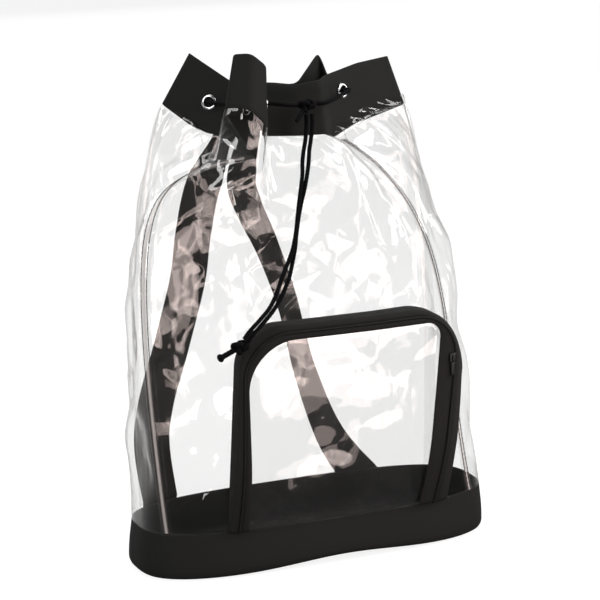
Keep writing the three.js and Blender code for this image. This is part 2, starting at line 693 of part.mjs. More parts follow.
function makeStrap(name, { turn, route }) {
  const path = new THREE.SplineCurve(route.map(([x, z]) => new THREE.Vector2(x, z)));
  const face = (depth) =>
    evenly(0, 1, STRAP_STEPS + 1).map((share) => {
      const middle = path.getPointAt(share);
      const opened = THREE.MathUtils.smoothstep(share * path.getLength(), 0, STRAP_PINCH_LENGTH);
      const half = (STRAP_WIDTH / 2) * THREE.MathUtils.lerp(STRAP_PINCH, 1, opened);
      const across = evenly(-half, half, STRAP_COLUMNS);
      const along = path.getTangentAt(share);
      const wave = Math.sin(Math.PI * share);
      const tilt = THREE.MathUtils.degToRad(turn * wave ** STRAP_TURN_POWER);
      const spots = across.map((offset) => {
        const level = offset * Math.cos(tilt);
        return [middle.x - along.y * level, middle.y + along.x * level];
      });
      const rise = across.map((offset) => offset * Math.sin(tilt));
      const back = spots.map(([x, z]) => backFace(x, z));
      const nearest = Math.max(...back.map((y, i) => y - rise[i]));
      const hug = STRAP_HUG * (1 - wave) ** STRAP_HUG_POWER;
      const clear = STRAP_CLEAR + STRAP_BOW * wave ** STRAP_BOW_POWER + depth;
      return spots.map(([x, z], i) => {
        const y = THREE.MathUtils.lerp(nearest + rise[i], back[i], hug);
        return new THREE.Vector3(x, y + clear, z);
      });
    });
  addPiece(name, shellSolid(face(0), face(STRAP_WALL), false), 'webbing');
}

// Assembly

makeBase();
Object.entries(FILM_WALLS).forEach(([name, seams]) => makeFilmWall(name, seams));
const places = eyeletPlaces();
makeCollar(places);
places.forEach(makeEyelet);
makeDrawcord(places);
makeKnot('collar_knot', COLLAR_KNOT, KNOT_SIZE);
makeCordTube('strand_left', strandPoints(-1));
makeCordTube('strand_right', strandPoints(1));
makeKnot('end_knot', END_KNOT, END_KNOT_SIZE);
makeCordTube('cord_tail', TAIL.map((point) => new THREE.Vector3(...point)), TAIL_DIAMETER);
makeKnot('tail_end', TAIL_END, TAIL_END_SIZE);
makePocketBand();
makePocketFilm();
makeZipSlider();
Object.entries(STRAPS).forEach(([name, shape]) => makeStrap(name, shape));

export default bag;
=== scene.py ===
"""Looks of a clear drawstring backpack: tub, film walls, collar, eyelets, cord, pocket and straps."""
import math

import bmesh
import bpy
import numpy as np
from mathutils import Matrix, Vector


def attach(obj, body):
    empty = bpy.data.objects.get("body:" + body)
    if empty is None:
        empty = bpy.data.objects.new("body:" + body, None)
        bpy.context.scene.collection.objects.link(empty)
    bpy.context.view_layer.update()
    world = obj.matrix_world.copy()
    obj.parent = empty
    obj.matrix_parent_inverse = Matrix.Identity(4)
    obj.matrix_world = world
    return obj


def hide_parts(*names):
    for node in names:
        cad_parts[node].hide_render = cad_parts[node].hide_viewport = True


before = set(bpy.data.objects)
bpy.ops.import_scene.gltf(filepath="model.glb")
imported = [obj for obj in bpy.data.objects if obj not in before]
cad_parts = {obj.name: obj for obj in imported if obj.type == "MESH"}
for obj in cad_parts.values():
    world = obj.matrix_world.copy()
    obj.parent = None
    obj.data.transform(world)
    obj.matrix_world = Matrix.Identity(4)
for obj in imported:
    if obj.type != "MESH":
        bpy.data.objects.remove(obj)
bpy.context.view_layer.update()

# Studio
# A pale floor that runs back into a white room, with large soft boxes left, right and above and small cards
# near the bag. The camera stands to the left of the front, a little higher than the collar.
CAMERA_TURN = math.radians(-25)
CAMERA_DISTANCE = 2.0
CAMERA_HEIGHT = 0.728
CAMERA_AIM = Vector((0.0, 0.0, 0.215))
LENS = 142.4
LENS_SHIFT = (-0.015, 0.0132)
SHEETS_SEEN_THROUGH = 48
LIGHT_BOUNCES = 12

camera_data = bpy.data.cameras.new("camera")
camera_data.lens = LENS
camera_data.shift_x, camera_data.shift_y = LENS_SHIFT
camera = bpy.data.objects.new("camera", camera_data)
camera.location = (
    CAMERA_DISTANCE * math.sin(CAMERA_TURN),
    -CAMERA_DISTANCE * math.cos(CAMERA_TURN),
    CAMERA_HEIGHT,
)
camera.rotation_euler = (CAMERA_AIM - camera.location).to_track_quat("-Z", "Y").to_euler()
bpy.context.collection.objects.link(camera)
scene = bpy.context.scene
scene.camera = camera
scene.view_settings.view_transform = "Standard"
scene.cycles.transparent_max_bounces = SHEETS_SEEN_THROUGH
scene.cycles.max_bounces = LIGHT_BOUNCES

# Lights: place, width, height, brightness and colour. The cards stand where the front film mirrors them.
DAYLIGHT = (1.0, 1.0, 1.0)
ROSY = (1.0, 0.84, 0.79)
LIGHTS = {
    "soft_box_left": ((-1.9, -1.1, 1.3), 0.9, 1.8, 4.5, DAYLIGHT),
    "soft_box_right": ((1.5, -1.6, 1.5), 0.7, 1.6, 4.5, DAYLIGHT),
    "soft_box_above": ((0.1, 0.3, 2.3), 1.6, 1.2, 4.0, DAYLIGHT),
    "backdrop": ((0.0, 3.0, 1.5), 7.0, 3.0, 0.55, DAYLIGHT),
    "card_high": ((1.68, -0.55, 1.14), 0.5, 0.8, 8.0, DAYLIGHT),
    "card_side": ((1.38, -0.22, 0.44), 0.14, 0.16, 7.0, DAYLIGHT),
    "card_strip": ((1.6, -0.06, 0.75), 0.12, 0.9, 4.0, DAYLIGHT),
    "card_low": ((0.26, -0.68, 0.11), 0.48, 0.17, 3.0, ROSY),
    "card_low_left": ((0.13, -0.66, 0.1), 0.08, 0.13, 2.5, ROSY),
    "card_low_middle": ((0.25, -0.62, 0.11), 0.1, 0.14, 2.5, ROSY),
    "card_low_right": ((0.41, -0.57, 0.11), 0.09, 0.14, 2.5, ROSY),
    "card_far_right": ((0.64, -0.63, 0.17), 0.14, 0.26, 3.5, ROSY),
    "card_near": ((0.16, -0.47, 0.05), 0.14, 0.09, 2.0, ROSY),
    "card_front": ((-0.74, -1.28, 0.2), 0.3, 0.36, 6.0, DAYLIGHT),
}
for name, (place, width, height, brightness, colour) in LIGHTS.items():
    light = bpy.data.lights.new(name, "AREA")
    light.shape = "RECTANGLE"
    light.size, light.size_y = width, height
    light.energy = brightness * math.pi * width * height
    light.color = colour
    soft_box = bpy.data.objects.new(name, light)
    soft_box.location = place
    soft_box.visible_camera = False
    soft_box.rotation_euler = (CAMERA_AIM - Vector(place)).to_track_quat("-Z", "Y").to_euler()
    bpy.context.collection.objects.link(soft_box)


class Wire:
    """An output socket of a finish. Arithmetic on wires and numbers adds Math nodes to that finish."""

    def __init__(self, finish, socket):
        self.finish = finish
        self.socket = socket

    def math(self, operation, first, second):
        """An operation on two wires or numbers."""
        return self.finish.node("ShaderNodeMath", {"operation": operation}, {0: first, 1: second})

    def __add__(self, other):
        return self.math("ADD", self, other)

    def __mul__(self, other):
        return self.math("MULTIPLY", self, other)

    def __pow__(self, other):
        return self.math("POWER", self, other)

    def sine(self):
        """The sine of the wire, taken as an angle in radians."""
        return self.math("SINE", self, 0.0)

    def between(self, low, high):
        """A wire that runs from nothing to one, stretched to run from low to high."""
        return self * (high - low) + low


class Finish:
    """The node tree of a material or of the room, to which wires and nodes are added."""

    def __init__(self, owner):
        owner.use_nodes = True
        self.owner = owner
        self.tree = owner.node_tree
        self.tree.nodes.clear()

    def node(self, kind, settings, inputs, output=0):
        """Adds a node: its settings first, then the values or wires of its sockets. Gives one output."""
        node = self.tree.nodes.new(kind)
        for name, value in settings.items():
            setattr(node, name, value)
        for name, value in inputs.items():
            if isinstance(value, Wire):
                self.tree.links.new(value.socket, node.inputs[name])
            else:
                node.inputs[name].default_value = value
        return Wire(self, node.outputs[output]) if node.outputs else None

    def place(self):
        """Where a point lies in the frame, in metres."""
        return self.node("ShaderNodeTexCoord", {}, {}, "Object")

    def lie(self, axis):
        """Distance along a row of the piece's grid, X, or along a column, Y, in metres."""
        along = self.node("ShaderNodeUVMap", {"uv_map": "lie"}, {})
        return self.node("ShaderNodeSeparateXYZ", {}, {0: along}, axis)

    def noise(self, scale, detail):
        """Soft noise from nothing to one."""
        return self.node("ShaderNodeTexNoise", {}, {"Vector": self.place(), "Scale": scale, "Detail": detail})

    def bump(self, height, strength, distance):
        """The surface's direction where it is raised by a wire of heights."""
        return self.node("ShaderNodeBump", {}, {"Height": height, "Strength": strength, "Distance": distance})

    def blend(self, share, first, second):
        """Two shaders mixed, with a share of the second."""
        return self.node("ShaderNodeMixShader", {}, {0: share, 1: first, 2: second})

    def solid(self, inputs):
        """A shader for a surface that can't be seen through, from the values or wires of its sockets."""
        return self.node("ShaderNodeBsdfPrincipled", {}, inputs)

    def shade(self, surface, kind="ShaderNodeOutputMaterial"):
        """Makes a shader the surface, and gives the material or room that it belongs to."""
        self.node(kind, {}, {"Surface": surface})
        return self.owner


ROOM_GREY = (0.1, 0.1, 0.1, 1.0)
ROOM_WHITE = (1.0, 1.0, 1.0, 1.0)
walls = Finish(bpy.data.worlds.new("room"))
seen = walls.node("ShaderNodeLightPath", {}, {}, "Is Camera Ray")
grey = walls.node("ShaderNodeBackground", {}, {"Color": ROOM_GREY})
white = walls.node("ShaderNodeBackground", {}, {"Color": ROOM_WHITE})
scene.world = walls.shade(walls.blend(seen, grey, white), "ShaderNodeOutputWorld")

FLOOR_RADIUS = 9.0
FLOOR_SIDES = 96
FLOOR_GAP = 0.0004
FLOOR_COLOUR = (0.3, 0.3, 0.3, 1.0)
FLOOR_SHADE = (0.06, 0.06, 0.06, 1.0)
FLOOR_GLOW = 0.86
FLOOR_LIT_FROM = -0.15
FLOOR_LIT_TO = 0.25
FLOOR_LIT = 0.6

# The camera sees the floor white. The film mirrors it dark in front of the bag and lit behind it.
floor_finish = Finish(bpy.data.materials.new("pale_floor"))
floor_seen = floor_finish.node("ShaderNodeLightPath", {}, {}, "Is Camera Ray")
floor_back = floor_finish.node("ShaderNodeSeparateXYZ", {}, {0: floor_finish.place()}, "Y")
floor_lit = floor_finish.node("ShaderNodeMapRange", {"interpolation_type": "SMOOTHSTEP"}, {
    "Value": floor_back,
    "From Min": FLOOR_LIT_FROM,
    "From Max": FLOOR_LIT_TO,
    "To Max": FLOOR_LIT,
})
floor_pale = floor_seen.math("MAXIMUM", floor_seen, floor_lit)
floor_plain = floor_finish.node("ShaderNodeBsdfDiffuse", {}, {"Color": FLOOR_SHADE})
floor_bright = floor_finish.solid({
    "Base Color": FLOOR_COLOUR,
    "Roughness": 1.0,
    "Specular IOR Level": 0.0,
    "Emission Color": ROOM_WHITE,
    "Emission Strength": FLOOR_GLOW,
})
bpy.ops.mesh.primitive_circle_add(
    vertices=FLOOR_SIDES,
    radius=FLOOR_RADIUS,
    fill_type="NGON",
    location=(0, 0, -FLOOR_GAP),
)
floor = bpy.context.object
floor.name = "floor"
floor.data.materials.append(floor_finish.shade(floor_finish.blend(floor_pale, floor_plain, floor_bright)))

# Base
# A tub of matte black coated sheet with a rounded foot. Its hemmed upper edge holds the film walls,
# and the shoulder straps are sewn to its back.
MM = 0.001
WIDTH = 326 * MM
DEPTH = 114 * MM
CORNER_POWER = 3
BASE_HEIGHT = 40 * MM
BASE_WALL = 2 * MM
BASE_STEP = 3 * MM
BASE_RINGS = 16
UNDERSIDE_SHARES = (0.0, 0.25, 0.5, 0.75, 0.92)
FOOT_LIFT = 6 * MM
FOOT_LIFT_PLACE = 12 * MM
FOOT_LIFT_REACH = 70 * MM
FOOT_LIFT_HEIGHT = 24 * MM
VINYL_BLACK = (0.0175, 0.0175, 0.0167, 1.0)
VINYL_UNEVEN = 0.2

# Half a turn over a folded edge without its ends, the degrees to both sides over which a direction is read,
# the steps by which a length is added up, and the distance under which points are merged
EDGE_TURN = np.linspace(0, np.pi, 7)[1:-1]
NORMAL_REACH = 2.5
FINE_STEPS = 20000
WELD = 0.01 * MM

# Outline of the tub from the foot to the rim: inset from the rim's outline and height, in millimetres
BASE_OUTLINE = np.array([(2, 0), (0, 0.4), (-1.6, 1.6), (-3, 5), (-2.9, 12), (-2.2, 22), (-1, 32), (0, 40)])


def distances(points, axis=0):
    """Distance along a path, or along one axis of a grid, from its start to each of its points."""
    steps = np.diff(points, axis=axis, prepend=points.take([0], axis))
    return np.linalg.norm(steps, axis=-1).cumsum(axis)


def unit(vectors):
    """The vectors, each brought to length one."""
    return vectors / np.linalg.norm(vectors, axis=-1, keepdims=True)


def mesh_piece(name, points, material, node=None, closed_rows=False, closed_columns=False, weld=False):
    """A piece from a grid of points, rows by columns, with four-sided faces between neighbours.

    It takes the finish that it is given, and stands for a node of the frame where one is named. A
    closed direction joins its last row or column to its first. The map holds each point's distance along its
    row and its column, in metres.
    """
    rows, columns = points.shape[:2]
    number = np.arange(rows * columns).reshape(rows, columns)
    number = np.vstack([number, number[:1]]) if closed_rows else number
    number = np.hstack([number, number[:, :1]]) if closed_columns else number
    corners = [number[:-1, :-1], number[:-1, 1:], number[1:, 1:], number[1:, :-1]]
    faces = np.stack(corners, -1).reshape(-1, 4)
    mesh = bpy.data.meshes.new(name)
    mesh.from_pydata(points.reshape(-1, 3).tolist(), [], faces.tolist())
    place = np.stack([distances(points, 1), distances(points, 0)], -1).reshape(-1, 2)
    corner_number = np.empty(len(mesh.loops), int)
    mesh.loops.foreach_get("vertex_index", corner_number)
    mesh.uv_layers.new(name="lie").data.foreach_set("uv", place[corner_number].ravel())
    if weld:
        shell = bmesh.new()
        shell.from_mesh(mesh)
        bmesh.ops.remove_doubles(shell, verts=shell.verts, dist=WELD)
        bmesh.ops.recalc_face_normals(shell, faces=shell.faces)
        shell.to_mesh(mesh)
        shell.free()
    mesh.shade_smooth()
    mesh.materials.append(material)
    piece = bpy.data.objects.new(name, mesh)
    bpy.context.collection.objects.link(piece)
    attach(piece, "root")
    if node:
        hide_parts(node)
    return piece


def superellipse(turn, power):
    """X and y of a superellipse of half width one: the cosine and the sine of the turn, each raised to two
    over the power, with its sign kept."""
    around = np.stack([np.cos(turn), np.sin(turn)], -1)
    return np.sign(around) * np.abs(around) ** (2 / power)


def rim(angle):
    """Outline of the tub's rim at an angle in degrees: a superellipse of the tub's width and depth."""
    return superellipse(np.radians(angle), CORNER_POWER) * [WIDTH / 2, DEPTH / 2]


def even_angles(curve, start, end, step):
    """Angles from start to end that are evenly spaced along a curve: its length is added up on a fine
    scale of angles and read backwards."""
    fine = np.linspace(start, end, FINE_STEPS)
    length = distances(curve(fine))
    count = int(np.ceil(length[-1] / step)) + 1
    return np.interp(np.linspace(0, length[-1], count), length, fine)


def rim_ring(angle, inset):
    """The rim's outline moved inwards by an inset, square to the outline."""
    side = rim(angle + NORMAL_REACH) - rim(angle - NORMAL_REACH)
    return rim(angle) - unit(np.stack([side[..., 1], -side[..., 0]], -1)) * inset


def tub_points():
    """Grid of the tub: rings that grow from the middle of the underside, climb the outline, turn over the
    rim and come back down the inside to the middle of the floor. A bell curve lifts the soft front foot."""
    angle = even_angles(rim, 0, 360, BASE_STEP)[:-1]
    share = np.linspace(0, 1, BASE_RINGS) * (len(BASE_OUTLINE) - 1)
    outline = [np.interp(share, np.arange(len(BASE_OUTLINE)), column) * MM for column in BASE_OUTLINE.T]
    hem = (BASE_WALL / 2 * (1 - np.cos(EDGE_TURN)), BASE_HEIGHT + BASE_WALL / 2 * np.sin(EDGE_TURN))
    inner = (outline[0][::-1] + BASE_WALL, np.maximum(outline[1][::-1], BASE_WALL))
    inset = np.concatenate([outline[0], hem[0], inner[0]])
    height = np.concatenate([outline[1], hem[1], inner[1]])
    rings = rim_ring(angle, inset[:, None, None])
    rings = np.concatenate([rings, np.broadcast_to(height[:, None, None], rings.shape[:2] + (1,))], -1)
    pull = np.array(UNDERSIDE_SHARES)[:, None, None] * [1, 1, 0] + [0, 0, 1]
    points = np.concatenate([rings[:1] * pull, rings, rings[-1:] * pull[::-1]])
    x, y, z = np.moveaxis(points, -1, 0)
    lift = FOOT_LIFT * np.exp(-((x - FOOT_LIFT_PLACE) / FOOT_LIFT_REACH) ** 2)
    points[..., 2] += lift * np.clip(-2 * y / DEPTH, 0, 1) * np.clip(1 - z / FOOT_LIFT_HEIGHT, 0, 1)
    return points


def black_vinyl(name, grain, roughness):
    """Matte black coated sheet: fine pebbled grain as a bump, with the sheen a little uneven."""
    finish = Finish(bpy.data.materials.new(name))
    pebble = finish.node("ShaderNodeTexVoronoi", {}, {"Vector": finish.place(), "Scale": grain})
    return finish.shade(finish.solid({
        "Base Color": VINYL_BLACK,
        "Roughness": finish.noise(scale=18.0, detail=3.0).between(roughness, roughness + VINYL_UNEVEN),
        "Specular IOR Level": 0.14,
        "Normal": finish.bump(pebble, strength=0.25, distance=0.1 * MM),
    }))


tub_vinyl = black_vinyl("tub_vinyl", grain=900.0, roughness=0.6)
mesh_piece("tub", tub_points(), tub_vinyl, "base", closed_columns=True, weld=True)

# Film walls
# Four panels of glossy clear film, welded into the tub's rim and sewn to each other at the corners.
# They bulge above the tub, are gathered into the collar, and are dented and creased all over.

# Lines up the bag, in order round it: angle on the rim, bulge of the wall, place of the collar's foot, powers
# by which the wall stays out and flattens off on its way there, and how far the collar leans and rises
COLUMNS = ("angle", "bulge", "x", "y", "z", "stay", "flatten", "lean_x", "lean_y", "rise")
LINES = {
    "right_middle": (2, -8, 64, 12, 379, 2.8, 1.4, -13, -1, 45),
    "back_right_corner": (36, 2, 115, 40, 381, 2.4, 1.2, -21, -7, 44),
    "back_right_fold": (57, 3, 49, 45, 361, 3, 1.5, -6, 2, 41),
    "back_right_pleat": (66, 4, 52, 62, 386, 2.4, 1.2, -12, 4, 42),
    "back_middle": (86, 4, 8, 38, 362, 4, 1.8, -4, -2, 43),
    "back_flat_right": (98, 4, -12, 56, 364, 2.6, 1.3, -2, -4, 42),
    "back_flat_left": (116, 4, -68, 54, 364, 2.6, 1.3, 4, -4, 42),
    "back_left_fold": (127, 4, -90, 41, 374, 3, 1.5, 12, -4, 42),
    "back_left_corner": (144, 6, -119, 46, 397, 2.6, 1.2, 21, -12, 43),
    "left_middle": (178, 4, -88, 20, 376, 4, 1.6, 15, -6, 44),
    "front_left_corner": (209, 27, -52, -10, 350, 7.6, 2, 8, 2, 48),
    "pleat_left": (228, 5, -101, -46, 405, 2.2, 1.2, 10, 4, 42),
    "pleat_crest": (240, 4, -82, -60, 405, 2, 1.2, 7, 10, 43),
    "pleat_right": (252, 4, -60, -54, 385, 2.2, 1.2, 2, 8, 50),
    "front_left_fold": (260, 4, -55, -22, 374, 3, 1.4, 0, 2, 44),
    "front_middle": (274, 4, -20, -24, 372, 3.2, 1.5, -2, 5, 42),
    "front_right": (298, 2, 4, -26, 372, 2.5, 1.4, -3, 6, 45),
    "front_right_corner": (322, -20, 16, -15, 366, 3.8, 1.1, -5, 5, 53),
}

FOLD_SOFTNESS = 3.2
FOLD_SHIFTS = np.array([-1, -0.6, -0.3, 0, 0.3, 0.6, 1])
BULGE_RISE = 0.9
BULGE_SQUARE = 1.5
FILM_STEP = 2.6 * MM
FILM_STEP_SHARE = 0.45
FILM_ROWS = 130
FILM_SPACING = 0.85
FILM_WALL = 0.5 * MM
FILM_TINT = (0.974, 0.974, 0.973, 1.0)
FILM_GLOSS = (1.0, 0.99, 0.985, 1.0)
FILM_MIRROR = (0.04, 0.94)
FILM_MIRROR_POWER = 5
FILM_ROUGHNESS = (0.01, 0.15)
CLOUDY_COLOUR = (0.84, 0.77, 0.74, 1.0)
CLOUDY_SHARPNESS = 8
CLOUDY_MOST = 0.55

# Film panels: the corner lines on both sides, then in millimetres how far the film laps over the collar
# and how far the dents leave it standing proud
FILM_PANELS = {
    "film_front": ("front_left_corner", "front_right_corner", 0, 4),
    "film_right": ("front_right_corner", "back_right_corner", 9, 5),
    "film_back": ("back_right_corner", "back_left_corner", 0, 0.5),
    "film_left": ("back_left_corner", "front_left_corner", 0, 5),
}

# How far from the foot, the collar and the corners the dents die out, and from which ends and sides the
# creases do
DENT_FOOT = 70 * MM
DENT_TOP = 40 * MM
DENT_SIDE = 18 * MM
CREASE_END = 25 * MM
CREASE_SIDE = 10 * MM

# Gathers below the collar: distance from one to the next, depth, where they start and are full, where they
# end, and the waves by which they come and go; then the rows, lift and ripples of the lap over the collar
GATHER_PITCH = 13 * MM
GATHER_DEPTH = 0.8 * MM
GATHER_REACH = 48 * MM
GATHER_FULL = 14.4 * MM
GATHER_END = 8 * MM
GATHER_DRIFT = 31 * MM
GATHER_UNEVEN = 3
LAP_SHARES = np.linspace(0.05, 1, 7)
LAP_PROUD = 1.8 * MM
LAP_DEPTH = 0.8 * MM
LAP_WAVE = 5 * MM
LAP_SLANT = 3.5 * MM

# Long creases of the front panel: x and height of both ends, half width and height, in millimetres
CREASES = np.array([
    (20, 356, 29, 312, 5, 1.9),
    (29, 312, 47, 260, 6, 2.2),
    (47, 260, 55, 240, 5, 1.8),
    (-95, 336, -86, 300, 5, 2),
    (-86, 300, -76, 228, 5, 2),
    (-110, 264, -76, 225, 5, 2),
    (-75, 350, -158, 309, 4, 1.8),
    (-113, 101, -143, 70, 9, 2.8),
    (-94, 95, -123, 68, 8, 2.4),
])

# Calm patches of the front panel, where the dents are shallow: x, height and reach, in millimetres
CALM_PATCHES = np.array([
    (-135, 258, 36),
    (-15, 160, 45),
])
CALM = 0.85
CALM_POWER = 4

# Dents: direction in degrees, distance from crease to crease in millimetres, and steepness
DENTS = np.array([
    (18, 74, 0.07),
    (63, 52, 0.07),
    (97, 96, 0.06),
    (128, 61, 0.08),
    (151, 41, 0.06),
    (171, 83, 0.06),
])

# Slow waves that bend the dents, and the degrees by which chance turns each direction
DENT_BEND = 14 * MM
DENT_BEND_UP = 70 * MM
DENT_BEND_OVER = 60 * MM
DENT_SPREAD = 25


def line_values(angle):
    """The columns of LINES at angles: straight between the rows, then a mean over a few angles nearby,
    which rounds the folds. Millimetres become metres."""
    table = np.array(list(LINES.values()), float)
    first = table[0, 0]
    near = (np.asarray(angle, float)[..., None] + FOLD_SHIFTS * FOLD_SOFTNESS - first) % 360 + first
    known = np.append(table[:, 0], first + 360)
    values = {}
    for name, column in zip(COLUMNS[1:], table.T[1:]):
        value = np.interp(near, known, np.append(column, column[0])).mean(-1)
        values[name] = value if name in ("stay", "flatten") else value * MM
    return values


def wall(angle, share):
    """Film wall at an angle and a share of the way up: from the rim to the collar's foot by the share to a
    power, swollen outwards by a half sine wave, and rising by one less a power of what is left."""
    line = line_values(angle)
    half = np.array([WIDTH / 2, DEPTH / 2])
    outline = rim(angle)
    foot = np.stack([line["x"], line["y"]], -1)
    pull = (share ** line["stay"])[..., None]
    swell = (line["bulge"] * np.sin(np.pi * share ** BULGE_RISE))[..., None]
    flat = outline + (foot - outline) * pull
    flat = flat + swell * np.sign(outline) * np.abs(outline / half) ** BULGE_SQUARE
    height = BASE_HEIGHT + (line["z"] - BASE_HEIGHT) * (1 - (1 - share) ** line["flatten"])
    return np.concatenate([flat, height[..., None]], -1)


def collar_face(angle, share):
    """Outer face of the collar: its foot, moved by the lean and the rise in step with the share."""
    line = line_values(angle)
    names = (("x", "lean_x"), ("y", "lean_y"), ("z", "rise"))
    return np.stack([line[foot] + line[move] * share for foot, move in names], -1)


def outward_normals(points):
    """Normals of a grid: the change along the rows crossed with the change along the columns."""
    return unit(np.cross(np.gradient(points, axis=1), np.gradient(points, axis=0)))


def ease(value, start, end):
    """Smooth step from nothing at start to one at end."""
    share = np.clip((value - start) / (end - start), 0, 1)
    return share * share * (3 - 2 * share)


def dents(over, up, seed):
    """Depth of the dents: triangle waves in several directions added up, so that flat facets meet in
    straight creases, on a plane that is first bent a little by slow sine waves."""
    chance = np.random.default_rng(seed)
    bent_over = over + DENT_BEND * np.sin(up / DENT_BEND_UP + seed)
    bent_up = up + DENT_BEND * np.sin(over / DENT_BEND_OVER + 2 * seed)
    depth = np.zeros_like(over)
    for (turn, apart, steep), phase in zip(DENTS, chance.random(len(DENTS))):
        angle = np.radians(turn + DENT_SPREAD * chance.random())
        run = (bent_over * np.cos(angle) + bent_up * np.sin(angle)) / (apart * MM) + phase
        depth += steep * apart * MM * (0.5 - np.abs(run % 1 - 0.5))
    return depth


def unrest(points):
    """Share of the dents that is left: less in the calm patches, by a bell curve of a power of the distance
    from their middles. Only the front of the bag has them."""
    place = points[..., None, [0, 2]]
    away = np.linalg.norm(place - CALM_PATCHES[:, :2] * MM, axis=-1) / (CALM_PATCHES[:, 2] * MM)
    calm = np.exp(-away ** CALM_POWER).max(-1)
    return np.where(points[..., 1] < 0, 1 - CALM * calm, 1)


def creases(points):
    """Height of the long creases: tents over straight lines, by the distance from the nearest point of the
    line. Only the front of the bag has them."""
    place = points[..., None, [0, 2]]
    start, end = CREASES[:, 0:2] * MM, CREASES[:, 2:4] * MM
    run = end - start
    along = ((place - start) * run).sum(-1) / (run ** 2).sum(-1)
    away = np.linalg.norm(place - start - np.clip(along, 0, 1)[..., None] * run, axis=-1)
    tent = np.clip(1 - away / (CREASES[:, 4] * MM), 0, 1) * CREASES[:, 5] * MM
    return np.where(points[..., 1] < 0, tent.max(-1), 0)


def span(start, end):
    """Angles of two lines, the second one past the first."""
    first, last = LINES[start][0], LINES[end][0]
    return first, last + 360 if last < first else last


def film_points(start, end, lap, proud, seed):
    """Grid of a film panel: the wall from corner to corner, then the lap over the collar. It is moved by
    the dents and creases, which die out at its edges, and by sine waves that gather it below the collar."""
    angle = even_angles(lambda value: wall(value, FILM_STEP_SHARE), *span(start, end), FILM_STEP)
    points = wall(angle, np.linspace(0, 1, FILM_ROWS)[:, None] ** FILM_SPACING)
    above, over = distances(points, 0), distances(points, 1)
    below = above[-1:] - above
    beside = np.minimum(over, over[:, -1:] - over)
    hold = ease(above, 0, DENT_FOOT) * ease(below, 0, DENT_TOP) * ease(beside, 0, DENT_SIDE)
    edge = ease(np.minimum(above, below), 0, CREASE_END) * ease(beside, 0, CREASE_SIDE)
    depth = dents(over, points[..., 2], seed)
    depth = depth.mean() + (depth - depth.mean()) * unrest(points)
    move = (proud * MM - depth) * hold + creases(points) * edge
    top = over[-1:]
    gather = np.sin(2 * np.pi * top / GATHER_PITCH + GATHER_UNEVEN * np.sin(top / GATHER_REACH))
    gather = gather * (0.5 + 0.5 * np.sin(top / GATHER_DRIFT + 2 * seed))
    move += GATHER_DEPTH * gather * ease(below, GATHER_REACH, GATHER_FULL) * ease(below, 0, GATHER_END)
    points = points + outward_normals(points) * move[..., None]
    if lap:
        rise = LAP_SHARES[:, None] * lap * MM
        band = collar_face(angle, rise / line_values(angle)["rise"])
        wave = np.sin(top / LAP_WAVE + 2 * np.sin(top / GATHER_DRIFT) + rise / LAP_SLANT)
        ripple = LAP_PROUD + LAP_DEPTH * wave * np.sin(rise / LAP_SLANT + top / GATHER_DRIFT)
        points = np.concatenate([points, band + outward_normals(band) * ripple[..., None]])
    return points


def clear_film(name, tint, fold=None):
    """Glossy clear film: see-through, with a mirror part that grows towards grazing angles by a power of
    the facing, and a slightly uneven gloss. A strip that is folded along its middle, fold wide, is cloudy
    there by a power of a half sine wave."""
    finish = Finish(bpy.data.materials.new(name))
    bump = finish.bump(finish.noise(scale=55.0, detail=1.0), strength=0.22, distance=1.2 * MM)
    facing = finish.node("ShaderNodeLayerWeight", {}, {"Blend": 0.5, "Normal": bump}, "Facing")
    clear = finish.node("ShaderNodeBsdfTransparent", {}, {"Color": tint})
    gloss = finish.node("ShaderNodeBsdfGlossy", {}, {
        "Color": FILM_GLOSS,
        "Roughness": (finish.noise(scale=30.0, detail=4.0) ** 2).between(*FILM_ROUGHNESS),
        "Normal": bump,
    })
    surface = finish.blend((facing ** FILM_MIRROR_POWER).between(*FILM_MIRROR), clear, gloss)
    if fold:
        cloudy = finish.node("ShaderNodeBsdfDiffuse", {}, {"Color": CLOUDY_COLOUR})
        middle = (finish.lie("X") * (np.pi / fold)).sine() ** CLOUDY_SHARPNESS * CLOUDY_MOST
        surface = finish.blend(middle, surface, cloudy)
    return finish.shade(surface)


def add_wall(sheet):
    """Gives a sheet of film its thickness, inwards. Edges with a face on one side only are sharp, so that
    the gloss runs straight up to them."""
    mesh = sheet.data
    edge_number = np.empty(len(mesh.loops), int)
    mesh.loops.foreach_get("edge_index", edge_number)
    outer_edge = np.bincount(edge_number, minlength=len(mesh.edges)) == 1
    mesh.attributes.new("sharp_edge", "BOOLEAN", "EDGE").data.foreach_set("value", outer_edge)
    thickness = sheet.modifiers.new("film", "SOLIDIFY")
    thickness.thickness = FILM_WALL
    thickness.offset = -1


def to_millimetre(length):
    """A length in metres, rounded to the millimetre."""
    return round(float(length), 3)


wall_film = clear_film("wall_film", FILM_TINT)
for number, (node, (start, end, lap, proud)) in enumerate(FILM_PANELS.items()):
    points = film_points(start, end, lap, proud, number + 1)
    panel = mesh_piece(node.replace("film_", "panel_"), points, wall_film, node)
    add_wall(panel)
    flat = (to_millimetre(distances(points[0])[-1]), to_millimetre(distances(points)[-1].mean()))

